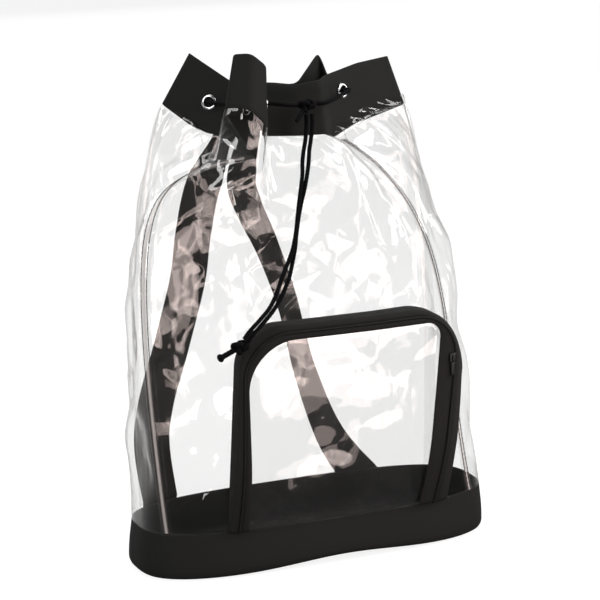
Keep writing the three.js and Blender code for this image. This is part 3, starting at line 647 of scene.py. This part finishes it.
# Seams
# The panels meet at four corner seams, each a narrow folded welt of the film. The two in front are sewn
# down with two rows of black thread, and the two behind are welded.
SEAM_LINES = ("front_right_corner", "back_right_corner", "back_left_corner", "front_left_corner")
SEWN_LINES = ("front_right_corner", "front_left_corner")
SEAM_SHARES = np.linspace(0.004, 0.985, 3000)
SEAM_STEP = 0.8 * MM
WELT_WIDTH = 10 * MM
WELT_LIFT = 0.5 * MM
WELT_RISE = 0.9 * MM
WELT_COLUMNS = 9
THREAD_RADIUS = 0.42 * MM
THREAD_THIN = 0.55
THREAD_SIDES = 8
THREAD_OFFSET = 2 * MM
STITCH_LENGTH = 4.5 * MM
STITCH_RISE = 0.5 * MM
THREAD_BLACK = (0.045, 0.038, 0.035, 1.0)


def full_turn(sides):
    """Angles round a circle, one for each side."""
    return np.linspace(0, 2 * np.pi, sides, endpoint=False)


def tube_points(path, thick, reference):
    """A tube along a path, square to it: thick is the radius at each point of the path and each side. Both
    ends close in a point."""
    ahead = unit(np.gradient(path, axis=0))
    side = unit(np.cross(ahead, reference))
    across = np.cross(ahead, side)
    turn = full_turn(thick.shape[1])[:, None]
    spoke = np.cos(turn) * side[:, None] + np.sin(turn) * across[:, None]
    skin = path[:, None] + spoke * thick[..., None]
    cap = np.broadcast_to(path[[0, -1], None], (2,) + skin.shape[1:])
    return np.concatenate([cap[:1], skin, cap[1:]])


def seam_grid(line, offsets):
    """Points, outward directions and distances up a seam: rows evenly spaced up a corner line, columns at
    offsets to both sides, found on the wall by the distance that a degree moves it."""
    corner = LINES[line][0]
    length = distances(wall(corner, SEAM_SHARES))
    up = np.arange(0, length[-1], SEAM_STEP)
    share = np.interp(up, length, SEAM_SHARES)[:, None]
    beside = wall(corner + np.array([-1, 1]), share)
    degree = np.linalg.norm(beside[:, 1] - beside[:, 0], axis=-1)[:, None] / 2
    grid = wall(corner + offsets / degree, share)
    return grid, outward_normals(grid), up


def sewing_thread():
    """Dull black sewing thread with a fine twist."""
    finish = Finish(bpy.data.materials.new("sewing_thread"))
    return finish.shade(finish.solid({
        "Base Color": THREAD_BLACK,
        "Roughness": finish.noise(scale=2500.0, detail=1.0).between(0.6, 0.8),
        "Specular IOR Level": 0.2,
    }))


black_thread = sewing_thread()
welt_film = clear_film("welt_film", FILM_TINT, WELT_WIDTH)
welt_across = np.linspace(-1, 1, WELT_COLUMNS)
for line in SEAM_LINES:
    strip, out, up = seam_grid(line, welt_across * WELT_WIDTH / 2)
    lift = WELT_LIFT + WELT_RISE * (1 - welt_across[:, None] ** 2)
    film = welt_film if line in SEWN_LINES else wall_film
    welt = mesh_piece("welt_" + line, strip + out * lift, film)
    add_wall(welt)
    flat = (WELT_WIDTH, to_millimetre(up[-1]))

# The threads run along the outer two of these columns. The inner two give the film's direction there.
thread_across = np.array([-1, -0.9, 0.9, 1])
for line in SEWN_LINES:
    rows, out, up = seam_grid(line, thread_across * THREAD_OFFSET)
    stitch = np.abs(np.sin(np.pi * up / STITCH_LENGTH))[:, None]
    for name, column in (("thread_first_", 0), ("thread_second_", -1)):
        path = rows[:, column] + out[:, column] * (WELT_LIFT + WELT_RISE + STITCH_RISE * stitch)
        thick = THREAD_RADIUS * (THREAD_THIN + (1 - THREAD_THIN) * stitch) * np.ones(THREAD_SIDES)
        tube = tube_points(path, thick, out[:, column])
        mesh_piece(name + line, tube, black_thread, closed_columns=True, weld=True)

# Collar
# A band of the same black sheet, folded into pleats by the drawcord. It is sewn to the upper edge of
# the film and carries the eyelets.
COLLAR_WALL = 1.4 * MM
COLLAR_STEP = 2 * MM
COLLAR_STEP_SHARE = 0.5
COLLAR_LIFT = 0.016
COLLAR_ROWS = 12
COLLAR_HEIGHT = 46 * MM
UPRIGHT = np.array([0.0, 0.0, 1.0])


def collar_points():
    """Grid of the collar: columns round the band, rows that go up its outer face, over a rounded upper
    edge, down the inner face and round the lower edge."""
    angle = even_angles(lambda value: collar_face(value, COLLAR_STEP_SHARE), 0, 360, COLLAR_STEP)[:-1]
    share = np.linspace(COLLAR_LIFT, 1, COLLAR_ROWS)
    lip = np.sin(EDGE_TURN) * COLLAR_WALL / 2
    inset = (1 - np.cos(EDGE_TURN)) * COLLAR_WALL / 2
    face, edge = np.zeros(COLLAR_ROWS), np.ones(len(EDGE_TURN))
    share = np.concatenate([share, edge, share[::-1], edge * COLLAR_LIFT])
    lift = np.concatenate([face, lip, face, -lip])
    depth = np.concatenate([face, inset, face + COLLAR_WALL, inset[::-1]])
    points = collar_face(angle, share[:, None])
    side = np.roll(points, -1, axis=1) - np.roll(points, 1, axis=1)
    level = unit(np.cross(side, UPRIGHT))
    return points - level * depth[:, None, None] + UPRIGHT * lift[:, None, None]


collar_vinyl = black_vinyl("collar_vinyl", grain=1100.0, roughness=0.6)
collar_grid = collar_points()
collar = mesh_piece(
    "gathered_collar", collar_grid, collar_vinyl, "collar",
    closed_rows=True, closed_columns=True,
)
collar_round = np.vstack([collar_grid[0], collar_grid[0, :1]])
collar_flat = (to_millimetre(distances(collar_round)[-1]), COLLAR_HEIGHT)

# Eyelets
# Bright plated brass rings, each pressed together from a rolled front and a washer, in holes that are
# punched in the collar.
EYELET_SIDES = 48
EYELET_LEAD = 8 * MM
EYELET_PATCH = 0.07
CHROME = (0.82, 0.82, 0.83, 1.0)

# Eyelets in the cord's order: the lines on both sides, share of the way between them, share of the collar's
# height, and the cord's way through, 1 inwards and -1 outwards
EYELETS = {
    "eyelet_right": ("front_right_corner", "right_middle", 0.4, 0.66, 1),
    "eyelet_back_right": ("back_right_pleat", "back_middle", 0.5, 0.52, -1),
    "eyelet_back_left": ("back_middle", "back_flat_right", 0.55, 0.52, 1),
    "eyelet_left": ("back_left_corner", "front_left_corner", 0.47, 0.47, -1),
    "eyelet_pleat_left": ("front_left_corner", "pleat_left", 0.5, 0.52, 1),
    "eyelet_pleat_right": ("pleat_right", "front_left_fold", 0.54, 0.52, -1),
}

# Section of an eyelet: radius and place along its axis, in millimetres, round the metal
EYELET_SECTION = np.array([
    (3.3, -3.2), (4.1, -3.5), (6.1, -3.5), (6.5, -3.1), (6.5, -2.5), (4.3, -2.3), (4.3, 0.7),
    (6.5, 0.8), (6.55, 1.2), (6.2, 1.7), (5.3, 2.05), (4.3, 1.9), (3.6, 1.4), (3.3, 0.6),
])


def eyelet_place(start, end, share, height):
    """Centre of an eyelet on the collar and the outward direction there."""
    first, last = span(start, end)
    around = first + (last - first) * share + np.array([-1, 0, 1]) * NORMAL_REACH
    level = height + np.array([-1, 0, 1]) * EYELET_PATCH
    patch = collar_face(around, level[:, None])
    return patch[1, 1], outward_normals(patch)[1, 1]


def turned_ring(centre, axis, section, sides):
    """A section of radius and place along the axis, turned about that axis."""
    side = unit(np.cross(axis, UPRIGHT))
    across = np.cross(axis, side)
    turn = full_turn(sides)[:, None, None]
    spoke = np.cos(turn) * side + np.sin(turn) * across
    return centre + spoke * section[None, :, :1] + axis * section[None, :, 1:]


def plated_metal():
    """Bright plating with faint fine scratches in its gloss."""
    finish = Finish(bpy.data.materials.new("eyelet_plating"))
    return finish.shade(finish.solid({
        "Base Color": CHROME,
        "Metallic": 1.0,
        "Roughness": finish.noise(scale=400.0, detail=2.0).between(0.1, 0.22),
    }))


eyelet_plating = plated_metal()
eyelet_places = {}
for name, (start, end, share, height, way) in EYELETS.items():
    centre, axis = eyelet_place(start, end, share, height)
    eyelet_places[name] = (centre, axis, way)
    points = turned_ring(centre, axis, EYELET_SECTION * MM, EYELET_SIDES)
    mesh_piece(
        name + "_ring", points, eyelet_plating, name,
        closed_rows=True, closed_columns=True, weld=True,
    )

# Drawcord
# A black braided cord of four millimetres. It runs in and out of the eyelets and is knotted in front of
# the collar; its two ends hang down to a second knot with a short tail.
CORD_RADIUS = 2 * MM
CORD_SIDES = 20
CORD_STEP = 0.6 * MM
BRAID_PITCH = 6 * MM
BRAID_STRANDS = 4
BRAID_DEPTH = 0.13
CORD_BLACK = (0.0034, 0.0034, 0.0042, 1.0)
FORWARD = np.array([0.0, -1.0, 0.0])
CURVE_STEPS = 60
KNOT_STATIONS = 220
BULB_TURN = np.linspace(-np.pi / 2, np.pi / 2, 16)
BULB_SIDES = 24

# Knots: middle and half size. The cord leaves and reaches the upper one at places counted from its middle.
# The tail of the lower one and the stub of the upper one are short routes in metres.
COLLAR_KNOT = np.array([-20, -38, 400]) * MM
COLLAR_KNOT_SIZE = np.array([8, 6, 7]) * MM
END_KNOT = np.array([-100, -80, 211]) * MM
END_KNOT_SIZE = np.array([8, 5.5, 7]) * MM
END_KNOT_RADIUS = 2.7 * MM
LEAVES_KNOT = np.array([(8.35, 0, 1), (20.35, 0, 2)]) * MM
REACHES_KNOT = np.array([(-16.35, -2, 2), (-8.35, 0, 1)]) * MM
TAIL = np.array([(-0.1045, -0.08, 0.2092), (-0.1111, -0.08, 0.2064), (-0.1155, -0.08, 0.2045)])
TAIL_RADIUS = 2.6 * MM
TAIL_END = np.array([-0.1175, -0.08, 0.2037])
TAIL_END_SECTION = np.array([3.6, 2.6]) * MM
STUB = np.array([(-0.024, -0.041, 0.397), (-0.029, -0.044, 0.3925), (-0.0325, -0.0455, 0.3885)])

# Route of the two hanging ends in metres: x, y, z, half the distance between the two, and the turn of the
# pair in degrees, side by side at nothing and one behind the other at ninety
STRANDS = np.array([
    (-0.0180, -0.0385, 0.3926, 0.0026, 0),
    (-0.0177, -0.0390, 0.3868, 0.0027, 0),
    (-0.0184, -0.0395, 0.3793, 0.0027, 0),
    (-0.0198, -0.0405, 0.3711, 0.0025, 0),
    (-0.0221, -0.0425, 0.3632, 0.0026, 0),
    (-0.0242, -0.0450, 0.3536, 0.0029, 0),
    (-0.0263, -0.0480, 0.3441, 0.0024, 8),
    (-0.0291, -0.0505, 0.3338, 0.0022, 16),
    (-0.0324, -0.0530, 0.3235, 0.0022, 34),
    (-0.0359, -0.0560, 0.3116, 0.0022, 50),
    (-0.0394, -0.0595, 0.2981, 0.0022, 55),
    (-0.0431, -0.0630, 0.2856, 0.0022, 40),
    (-0.0480, -0.0665, 0.2748, 0.0024, 16),
    (-0.0546, -0.0710, 0.2628, 0.0032, 0),
    (-0.0621, -0.0755, 0.2510, 0.0028, 0),
    (-0.0710, -0.0790, 0.2399, 0.0021, 0),
    (-0.0812, -0.0815, 0.2310, 0.0021, 0),
    (-0.0902, -0.0815, 0.2226, 0.0021, 0),
    (-0.0949, -0.0808, 0.2162, 0.0022, 0),
])


def smooth_path(points, step):
    """Catmull-Rom curve through points, taken at even distances: each stretch is a cubic that leaves and
    arrives along the line between its neighbours."""
    ends = np.vstack([2 * points[0] - points[1], points, 2 * points[-1] - points[-2]])
    share = np.linspace(0, 1, CURVE_STEPS, endpoint=False)[:, None]
    p0, p1, p2, p3 = (ends[i:len(points) - 1 + i, None, :] for i in range(4))
    run = (p2 - p0) * share + (2 * p0 - 5 * p1 + 4 * p2 - p3) * share ** 2
    run = p1 + (run + (3 * p1 - p0 - 3 * p2 + p3) * share ** 3) / 2
    fine = np.vstack([run.reshape(-1, points.shape[1]), points[-1:]])
    length = distances(fine)
    even = np.linspace(0, length[-1], int(np.ceil(length[-1] / step)) + 1)
    return np.stack([np.interp(even, length, column) for column in fine.T], -1)


def braided_tube(path, radius, reference):
    """A tube whose radius rises and falls by a cosine of turns one way times a cosine of turns the other
    way, which gives the diamonds of a braid."""
    turn = BRAID_STRANDS * full_turn(CORD_SIDES)
    twist = 2 * np.pi * distances(path)[:, None] / BRAID_PITCH
    relief = np.cos(turn + twist) * np.cos(turn - twist)
    return tube_points(path, radius * (1 - BRAID_DEPTH + BRAID_DEPTH * relief), reference)


def knot_path(centre, size, radius):
    """Middle line of a tight overhand knot: a trefoil, the sine of one turn plus twice that of two turns
    and so on, stretched to the knot's size."""
    turn = np.linspace(0, 2 * np.pi, KNOT_STATIONS)
    x = np.sin(turn) + 2 * np.sin(2 * turn)
    y = -np.sin(3 * turn)
    z = np.cos(turn) - 2 * np.cos(2 * turn)
    trefoil = np.stack([x, y, z], -1)
    return centre + trefoil / np.abs(trefoil).max(0) * (size - radius)


def braided_cord():
    """Dull black yarn: a fine noise as a bump and in the roughness."""
    finish = Finish(bpy.data.materials.new("cord_braid"))
    yarn = finish.noise(scale=1500.0, detail=2.0)
    return finish.shade(finish.solid({
        "Base Color": CORD_BLACK,
        "Roughness": yarn.between(0.65, 0.85),
        "Specular IOR Level": 0.08,
        "Normal": finish.bump(yarn, strength=0.5, distance=0.15 * MM),
    }))


cord_braid = braided_cord()


def cord_piece(name, path, radius, reference, node=None):
    """A braided piece along a path, which stands for a node of the frame where one is named."""
    tube = braided_tube(path, radius, reference)
    return mesh_piece(name, tube, cord_braid, node, closed_columns=True, weld=True)


loop = [COLLAR_KNOT + LEAVES_KNOT]
for centre, axis, way in eyelet_places.values():
    steps = np.array([1, 0, -1])[:, None] * EYELET_LEAD * way - COLLAR_WALL / 2
    loop.append(centre + axis * steps)
loop.append(COLLAR_KNOT + REACHES_KNOT)
cord_piece("drawcord_loop", smooth_path(np.vstack(loop), CORD_STEP), CORD_RADIUS, UPRIGHT, "drawcord")
collar_turns = knot_path(COLLAR_KNOT, COLLAR_KNOT_SIZE, CORD_RADIUS)
collar_knot = cord_piece("front_knot", collar_turns, CORD_RADIUS, FORWARD, "collar_knot")
end_turns = knot_path(END_KNOT, END_KNOT_SIZE, END_KNOT_RADIUS)
end_knot = cord_piece("lower_knot", end_turns, END_KNOT_RADIUS, FORWARD, "end_knot")
tail = cord_piece("lower_tail", smooth_path(TAIL, CORD_STEP), TAIL_RADIUS, FORWARD, "cord_tail")
bulb_section = TAIL_END_SECTION * np.stack([np.cos(BULB_TURN), np.sin(BULB_TURN)], -1)
bulb_points = turned_ring(TAIL_END, unit(TAIL[-1] - TAIL[0]), bulb_section, BULB_SIDES)
bulb = mesh_piece(
    "tail_bulb", bulb_points, cord_braid, "tail_end",
    closed_rows=True, weld=True,
)
stub = cord_piece("knot_stub", smooth_path(STUB, CORD_STEP), CORD_RADIUS, FORWARD)

run_x, run_z = unit(np.gradient(STRANDS[:, [0, 2]], axis=0)).T
pair_turn = np.radians(STRANDS[:, 4])
sideways = np.stack([-run_z * np.cos(pair_turn), np.sin(pair_turn), run_x * np.cos(pair_turn)], -1)
sideways *= STRANDS[:, 3:4]
strand_sides = {"strand_left": (-1, [collar_knot, stub]), "strand_right": (1, [end_knot, tail, bulb])}
for name, (side, on_it) in strand_sides.items():
    path = smooth_path(STRANDS[:, :3] + side * sideways, CORD_STEP)
    strand = cord_piece("hanging_" + name, path, CORD_RADIUS, FORWARD, name)
    to_millimetre(distances(path)[-1])

# Front pocket
# A band of two black tapes stands round the pocket on three sides, sewn to the front film by its outer
# edge. The zip runs along its middle, and its inner edge carries the pocket's clear film.
FRONT_ANGLES = (212, 320)
HALVINGS = 26

# The pocket's front: how far it stands off the film, by a ramp above the tub, with a crown across it
POCKET_MIDDLE = 7 * MM
POCKET_HALF = 110 * MM
POCKET_TOP = 223 * MM
POCKET_STAND = 17 * MM
POCKET_RAMP = 70 * MM
POCKET_CROWN = 6 * MM
POCKET_LEAST = 4.95 * MM

# The pocket's film: place of its edge across the band, distance behind the front, and share of the dents
POCKET_TUCK = 0.75
POCKET_BEHIND = 3.25 * MM
POCKET_GRID = 100
POCKET_SEED = 9
POCKET_DENT = 0.3
POCKET_CALM = (4 * MM, 40 * MM)
POCKET_CALM_TOP = 140 * MM
POCKET_TINT = (0.997, 0.997, 0.996, 1.0)

# The band: its outer tape falls back towards the film by a share that grows from left to right
BAND_FOOT = 41 * MM
BAND_CLEAR = 0.7 * MM
BAND_STATIONS = 260
BAND_STRETCHES = 5
FALL_LEFT = 0.06
FALL_RIGHT = 0.42
FALL_FROM = 70 * MM
FALL_TO = 110 * MM
TAPE_BLACK = (0.021, 0.02, 0.0193, 1.0)

# The zip: place across the band, and its teeth
ZIP_LINE = 0.5
ZIP_STATIONS = 2000
ZIP_PITCH = 1.5 * MM
ZIP_PROUD = 0.1 * MM
ZIP_RADIUS = 1.1 * MM
ZIP_SIDES = 10
TOOTH_DEPTH = 0.18
TOOTH_STEEPNESS = 3

# The weave of tape and webbing: one over and under of the yarn, across and along
WEAVE_OVER = 1.1 * MM
WEAVE_DOWN = 0.9 * MM
WEAVE_UNEVEN = 0.06

# Edges of the band in millimetres: x at the foot and at the top of its left and right legs, height of the
# top, and the radii of its two corners
BAND_EDGES = {
    "outer": (-101, -95, 110.5, 131, 223, 36, 64),
    "inner": (-83.5, -90, 79, 93, 210, 43, 13),
}

# Section of the band, from the film round its front and back again inside: place across it from the outer
# to the inner edge, share of the fall towards the film, and distance behind that in millimetres
BAND_SECTION = np.array([
    (0, 1, 0), (0, 0.5, 0), (0, 0.08, 0.4), (0.015, 0.02, 0.1), (0.05, 0, 0), (0.25, 0, 0), (0.42, 0, 0),
    (0.44, 0, 0.6), (0.56, 0, 0.6), (0.58, 0, 0), (0.8, 0, 0), (0.97, 0, 0.1), (1, 0, 0.75),
    (0.97, 0, 1.4), (0.8, 0, 1.5), (0.58, 0, 1.5), (0.56, 0, 1.5), (0.44, 0, 1.5), (0.42, 0, 1.5),
    (0.25, 0, 1.5), (0.12, 0, 1.6), (0.1, 0.04, 1.6), (0.09, 0.1, 1.6), (0.09, 0.5, 0), (0.09, 1, 0),
])


def wall_at(x, height, low, high):
    """Y of the film wall at an x and a height. The share that gives the height at an angle is known
    outright; the angle is halved in, between the one of the lowest and the one of the highest x."""
    low, high = np.full(x.shape, float(low)), np.full(x.shape, float(high))
    for _ in range(HALVINGS):
        middle = (low + high) / 2
        line = line_values(middle)
        climbed = np.clip((height - BASE_HEIGHT) / (line["z"] - BASE_HEIGHT), 0, 1)
        points = wall(middle, 1 - (1 - climbed) ** (1 / line["flatten"]))
        short = points[..., 0] < x
        low, high = np.where(short, middle, low), np.where(short, high, middle)
    return points[..., 1]


def pocket_front(x, height):
    """Y of the pocket's front: close to the film at the rim, and by a quarter sine wave higher up nearly
    flat, with a slight crown."""
    film = wall_at(x, height, *FRONT_ANGLES)
    share = np.sin(np.clip((height - BASE_HEIGHT) / POCKET_RAMP, 0, 1) * np.pi / 2)
    middle = wall_at(np.full(x.shape, POCKET_MIDDLE), height, *FRONT_ANGLES) - POCKET_STAND
    flat = middle + POCKET_CROWN * ((x - POCKET_MIDDLE) / POCKET_HALF) ** 2
    return (film - POCKET_LEAST) * (1 - share) + flat * share


def edge_at(across):
    """The columns of BAND_EDGES at a place across the band, in metres."""
    outer, inner = (np.array(row) * MM for row in BAND_EDGES.values())
    return outer + (inner - outer) * across


def leg_x(foot, top, height):
    """X of a leg at a height, straight from its foot to its top."""
    return foot + (top - foot) * (height - BAND_FOOT) / (POCKET_TOP - BAND_FOOT)


def band_path(across, count):
    """X and height along the band: up the left leg, round a quarter circle, over the top, round another and
    down the right leg. Each of the five stretches has its own share of the stations."""
    left_foot, left_top, right_foot, right_top, top, left_round, right_round = edge_at(across)
    share = np.linspace(0, 1, count // BAND_STRETCHES, endpoint=False)
    turn = share * np.pi / 2
    left = leg_x(left_foot, left_top, top - left_round)
    right = leg_x(right_foot, right_top, top - right_round)
    up = BAND_FOOT + (top - left_round - BAND_FOOT) * share
    down = BAND_FOOT + (top - right_round - BAND_FOOT) * (1 - share)
    x = np.concatenate([
        leg_x(left_foot, left_top, up),
        left + left_round * (1 - np.cos(turn)),
        left + left_round + (right - right_round - left - left_round) * share,
        right - right_round * (1 - np.sin(turn)),
        leg_x(right_foot, right_top, down),
        [right_foot],
    ])
    height = np.concatenate([
        up,
        top - left_round * (1 - np.sin(turn)),
        np.full_like(share, top),
        top - right_round * (1 - np.cos(turn)),
        down,
        [BAND_FOOT],
    ])
    return x, height


def closed_ends(rings):
    """Rings of a flat section with both ends closed: the last ring at each end is drawn onto the middle of
    the section, halfway between its front and its back."""
    flat = (rings[[0, -1]] + rings[[0, -1], ::-1]) / 2
    return np.concatenate([flat[:1], rings, flat[1:]])


def band_points():
    """Grid of the band: its section carried along the path. The outer tape falls back from the zip line
    towards the film by a share that grows to the right."""
    (x0, z0), (x1, z1) = band_path(0, BAND_STATIONS), band_path(1, BAND_STATIONS)
    across, fall, behind = BAND_SECTION.T
    x = x0[:, None] + (x1 - x0)[:, None] * across
    height = z0[:, None] + (z1 - z0)[:, None] * across
    film = wall_at(x, height, *FRONT_ANGLES) - BAND_CLEAR
    front = pocket_front(x, height)
    tilt = FALL_LEFT + (FALL_RIGHT - FALL_LEFT) * ease(x, FALL_FROM, FALL_TO)
    tilt = tilt * np.clip(1 - across / ZIP_LINE, 0, 1)
    level = front + (film - front) * (tilt + (1 - tilt) * fall)
    return closed_ends(np.stack([x, level + behind * MM, height], -1))


def zip_points():
    """Grid of the closed zip: a tube along the middle of the band whose two halves swell in turn, by a
    steep sine wave, as interlocked teeth do."""
    (x0, z0), (x1, z1) = band_path(0, ZIP_STATIONS), band_path(1, ZIP_STATIONS)
    x, height = x0 + (x1 - x0) * ZIP_LINE, z0 + (z1 - z0) * ZIP_LINE
    y = pocket_front(x, height) - ZIP_PROUD
    path = np.stack([x, y, height], -1)
    wave = np.sin(2 * np.pi * distances(path)[:, None] / ZIP_PITCH) * np.cos(full_turn(ZIP_SIDES))
    tooth = np.tanh(TOOTH_STEEPNESS * wave)
    return tube_points(path, ZIP_RADIUS * (1 - TOOTH_DEPTH + TOOTH_DEPTH * tooth), FORWARD)


def pocket_points():
    """Grid of the pocket's film: columns across the pocket, rows from the tub up to the rounded top, lying
    behind the band and dented away from its edges."""
    left_foot, left_top, right_foot, right_top, top, left_round, right_round = edge_at(POCKET_TUCK)
    across = (1 + np.sin(np.linspace(-np.pi / 2, np.pi / 2, POCKET_GRID))) / 2
    width = leg_x(right_foot, right_top, top) - leg_x(left_foot, left_top, top)
    ceiling = np.full(POCKET_GRID, top)
    for bend, distance in ((left_round, across * width), (right_round, (1 - across) * width)):
        ceiling -= bend - np.sqrt(bend ** 2 - np.clip(bend - distance, 0, bend) ** 2)
    share = np.linspace(0, 1, POCKET_GRID)[:, None]
    height = BAND_FOOT + (ceiling - BAND_FOOT) * share
    left, right = leg_x(left_foot, left_top, height), leg_x(right_foot, right_top, height)
    x = left + (right - left) * across
    front = pocket_front(x, height) + POCKET_BEHIND
    edge = np.minimum(np.minimum(x - left, right - x), np.minimum(ceiling - height, height - BAND_FOOT))
    hold = ease(edge, *POCKET_CALM) * ease(height, BAND_FOOT, POCKET_CALM_TOP)
    depth = POCKET_DENT * dents(x, height, POCKET_SEED) * hold
    return np.stack([x, front + depth, height], -1)


def woven_tape(name, colour, roughness):
    """Woven black tape: the over and under of the yarn, a sine wave across times one along, as a bump."""
    finish = Finish(bpy.data.materials.new(name))
    over = (finish.lie("X") * (2 * np.pi / WEAVE_OVER)).sine()
    down = (finish.lie("Y") * (2 * np.pi / WEAVE_DOWN)).sine()
    weave = over * down
    return finish.shade(finish.solid({
        "Base Color": colour,
        "Roughness": weave * WEAVE_UNEVEN + roughness,
        "Specular IOR Level": 0.12,
        "Normal": finish.bump(weave, strength=0.4, distance=0.12 * MM),
    }))


zip_tape = woven_tape("zip_tape", TAPE_BLACK, roughness=0.7)
mesh_piece("zip_band", band_points(), zip_tape, "pocket_band", closed_columns=True, weld=True)
zip_nylon = black_vinyl("zip_nylon", grain=1500.0, roughness=0.4)
mesh_piece("zip_teeth", zip_points(), zip_nylon, closed_columns=True, weld=True)
pocket_sheet = clear_film("pocket_sheet", POCKET_TINT)
pocket_grid = pocket_points()
pocket = mesh_piece("pocket_front", pocket_grid, pocket_sheet, "pocket_film")
add_wall(pocket)

# Zip slider
# A small cast slider, painted black, on the right leg of the zip: a rounded body, a bridge over it and a
# flat pull that hangs from the bridge.
SLIDER_X = 103 * MM
SLIDER_HEIGHT = 176 * MM
SLIDER_SEAT = 3 * MM
SLIDER_SEAT_DROP = 12 * MM
SLIDER_SIDES = 40
SLIDER_POWER = 4
SLIDER_PAINT = (0.012, 0.012, 0.013, 1.0)

# Rings of a slab from the middle of its back to the middle of its front: shares of its outline and thickness
SLIDER_RINGS = np.array([(0, 0), (0.5, 0), (0.92, 0), (1, 0.2), (1, 0.75), (0.9, 1), (0.5, 1), (0, 1)])

# Slabs of the slider: place up the zip, lift off the band, width, height and thickness, in millimetres
SLIDER_SLABS = {
    "slider_body": (0.2, 0.1, 7, 9.6, 2.1),
    "slider_bridge": (0.2, 1.9, 2.6, 6.5, 1.5),
    "slider_pull": (-9.4, 1.2, 4, 12.5, 1.2),
}


def slab_points(centre, right, up, out, width, height, thick):
    """A rounded slab: rings of a superellipse that open from the middle of the back, climb the edge and
    close at the middle of the front."""
    around = superellipse(full_turn(SLIDER_SIDES), SLIDER_POWER)
    outline = around @ np.array([right * width / 2, up * height / 2])
    return centre + outline * SLIDER_RINGS[:, None, :1] + out * thick * SLIDER_RINGS[:, None, 1:]


def painted_metal():
    """Black paint on a small casting: a little gloss, slightly uneven."""
    finish = Finish(bpy.data.materials.new("slider_paint"))
    return finish.shade(finish.solid({
        "Base Color": SLIDER_PAINT,
        "Metallic": 0.3,
        "Roughness": finish.noise(scale=300.0, detail=2.0).between(0.3, 0.45),
    }))


# Points of the pocket's front: in the middle of the slider, below it, and to its right and left
seat_x = SLIDER_X + np.array([0, 0, 1, -1]) * SLIDER_SEAT
seat_height = SLIDER_HEIGHT - np.array([0, 1, 0, 0]) * SLIDER_SEAT_DROP
seat_y = pocket_front(seat_x, seat_height)
seat, below, right, left = np.stack([seat_x, seat_y, seat_height], -1)
slider_up = unit(seat - below)
slider_out = unit(np.cross(right - left, slider_up))
slider_right = np.cross(slider_up, slider_out)
slider_paint = painted_metal()
for name, (place, lift, width, height, thick) in SLIDER_SLABS.items():
    centre = seat + (slider_up * place + slider_out * lift) * MM
    points = slab_points(centre, slider_right, slider_up, slider_out, width * MM, height * MM, thick * MM)
    node = "zip_slider" if name == "slider_body" else None
    mesh_piece(name, points, slider_paint, node, closed_columns=True, weld=True)

# Straps
# Two flat straps of woven webbing down the back, sewn into the seam under the collar and onto the tub, and
# standing off the film in between.
BACK_ANGLES = (140, 40)
BASE_SWELL = 3 * MM
STRAP_WIDTH = 34 * MM
STRAP_WALL = 1.8 * MM
STRAP_STEP = 3 * MM
STRAP_CLEAR = 0.5 * MM
STRAP_BOW = 20 * MM
STRAP_BOW_POWER = 1.2
STRAP_TURN_POWER = 0.5
STRAP_PINCH = 0.55
STRAP_PINCH_LENGTH = 45 * MM
STRAP_HUG = 0.8
STRAP_HUG_POWER = 2
WEBBING_BLACK = (0.026, 0.0225, 0.021, 1.0)

# Straps: how far each turns about its length half-way down, in degrees, and its middle line from its upper
# end, where it is pinched together, to its lower end, x and height in millimetres
STRAPS = {
    "strap_left": (0, [
        (-56, 362), (-72, 315), (-78, 270), (-82, 228), (-98, 172), (-117, 122), (-124, 85), (-119, 22),
    ]),
    "strap_right": (36, [
        (-34, 362), (-33, 318), (-21, 289), (0, 250), (21, 197), (38, 125), (58, 66), (89, 22),
    ]),
}

# Section of a strap, round its back and its front: share of the width and share of the thickness. One of its
# points is the middle of the back.
STRAP_SECTION = np.array([
    (-0.5, 0.7), (-0.488, 0.9), (-0.47, 1), (-0.25, 1),
    (0, 1), (0.25, 1), (0.47, 1), (0.488, 0.9), (0.5, 0.7),
    (0.5, 0.3), (0.488, 0.1), (0.47, 0), (0.25, 0),
    (0, 0), (-0.25, 0), (-0.47, 0), (-0.488, 0.1), (-0.5, 0.3),
])
STRAP_MIDDLE = 4


def strap_points(turn, route):
    """Grid of a strap: its section carried down the route, clear of the film by a sine wave to a power, and
    turned about its length in step with that. Towards its ends it lies round what it is sewn to."""
    path = smooth_path(np.array(route) * MM, STRAP_STEP)
    along = unit(np.gradient(path, axis=0))
    wave = np.sin(np.linspace(0, np.pi, len(path)))[:, None].clip(0)
    tilt = np.radians(turn) * wave ** STRAP_TURN_POWER
    opened = ease(distances(path)[:, None], 0, STRAP_PINCH_LENGTH)
    width = STRAP_WIDTH * (STRAP_PINCH + (1 - STRAP_PINCH) * opened)
    offset = STRAP_SECTION[:, 0] * width
    x = path[:, :1] - along[:, 1:] * offset * np.cos(tilt)
    height = path[:, 1:] + along[:, :1] * offset * np.cos(tilt)
    face = wall_at(x, np.maximum(height, BASE_HEIGHT), *BACK_ANGLES)
    face = face + np.where(height < BASE_HEIGHT, BASE_SWELL, 0)
    rise = offset * np.sin(tilt)
    level = (face - rise).max(1, keepdims=True) + rise
    level = level + (face - level) * STRAP_HUG * (1 - wave) ** STRAP_HUG_POWER
    clear = STRAP_CLEAR + STRAP_BOW * wave ** STRAP_BOW_POWER
    return np.stack([x, level + clear + STRAP_SECTION[:, 1] * STRAP_WALL, height], -1)


strap_webbing = woven_tape("strap_webbing", WEBBING_BLACK, roughness=0.75)
for name, (turn, route) in STRAPS.items():
    rings = strap_points(turn, route)
    strap = mesh_piece(
        name + "_webbing", closed_ends(rings), strap_webbing, name,
        closed_columns=True, weld=True,
    )
    flat = (STRAP_WIDTH, to_millimetre(distances(rings[:, STRAP_MIDDLE])[-1]))
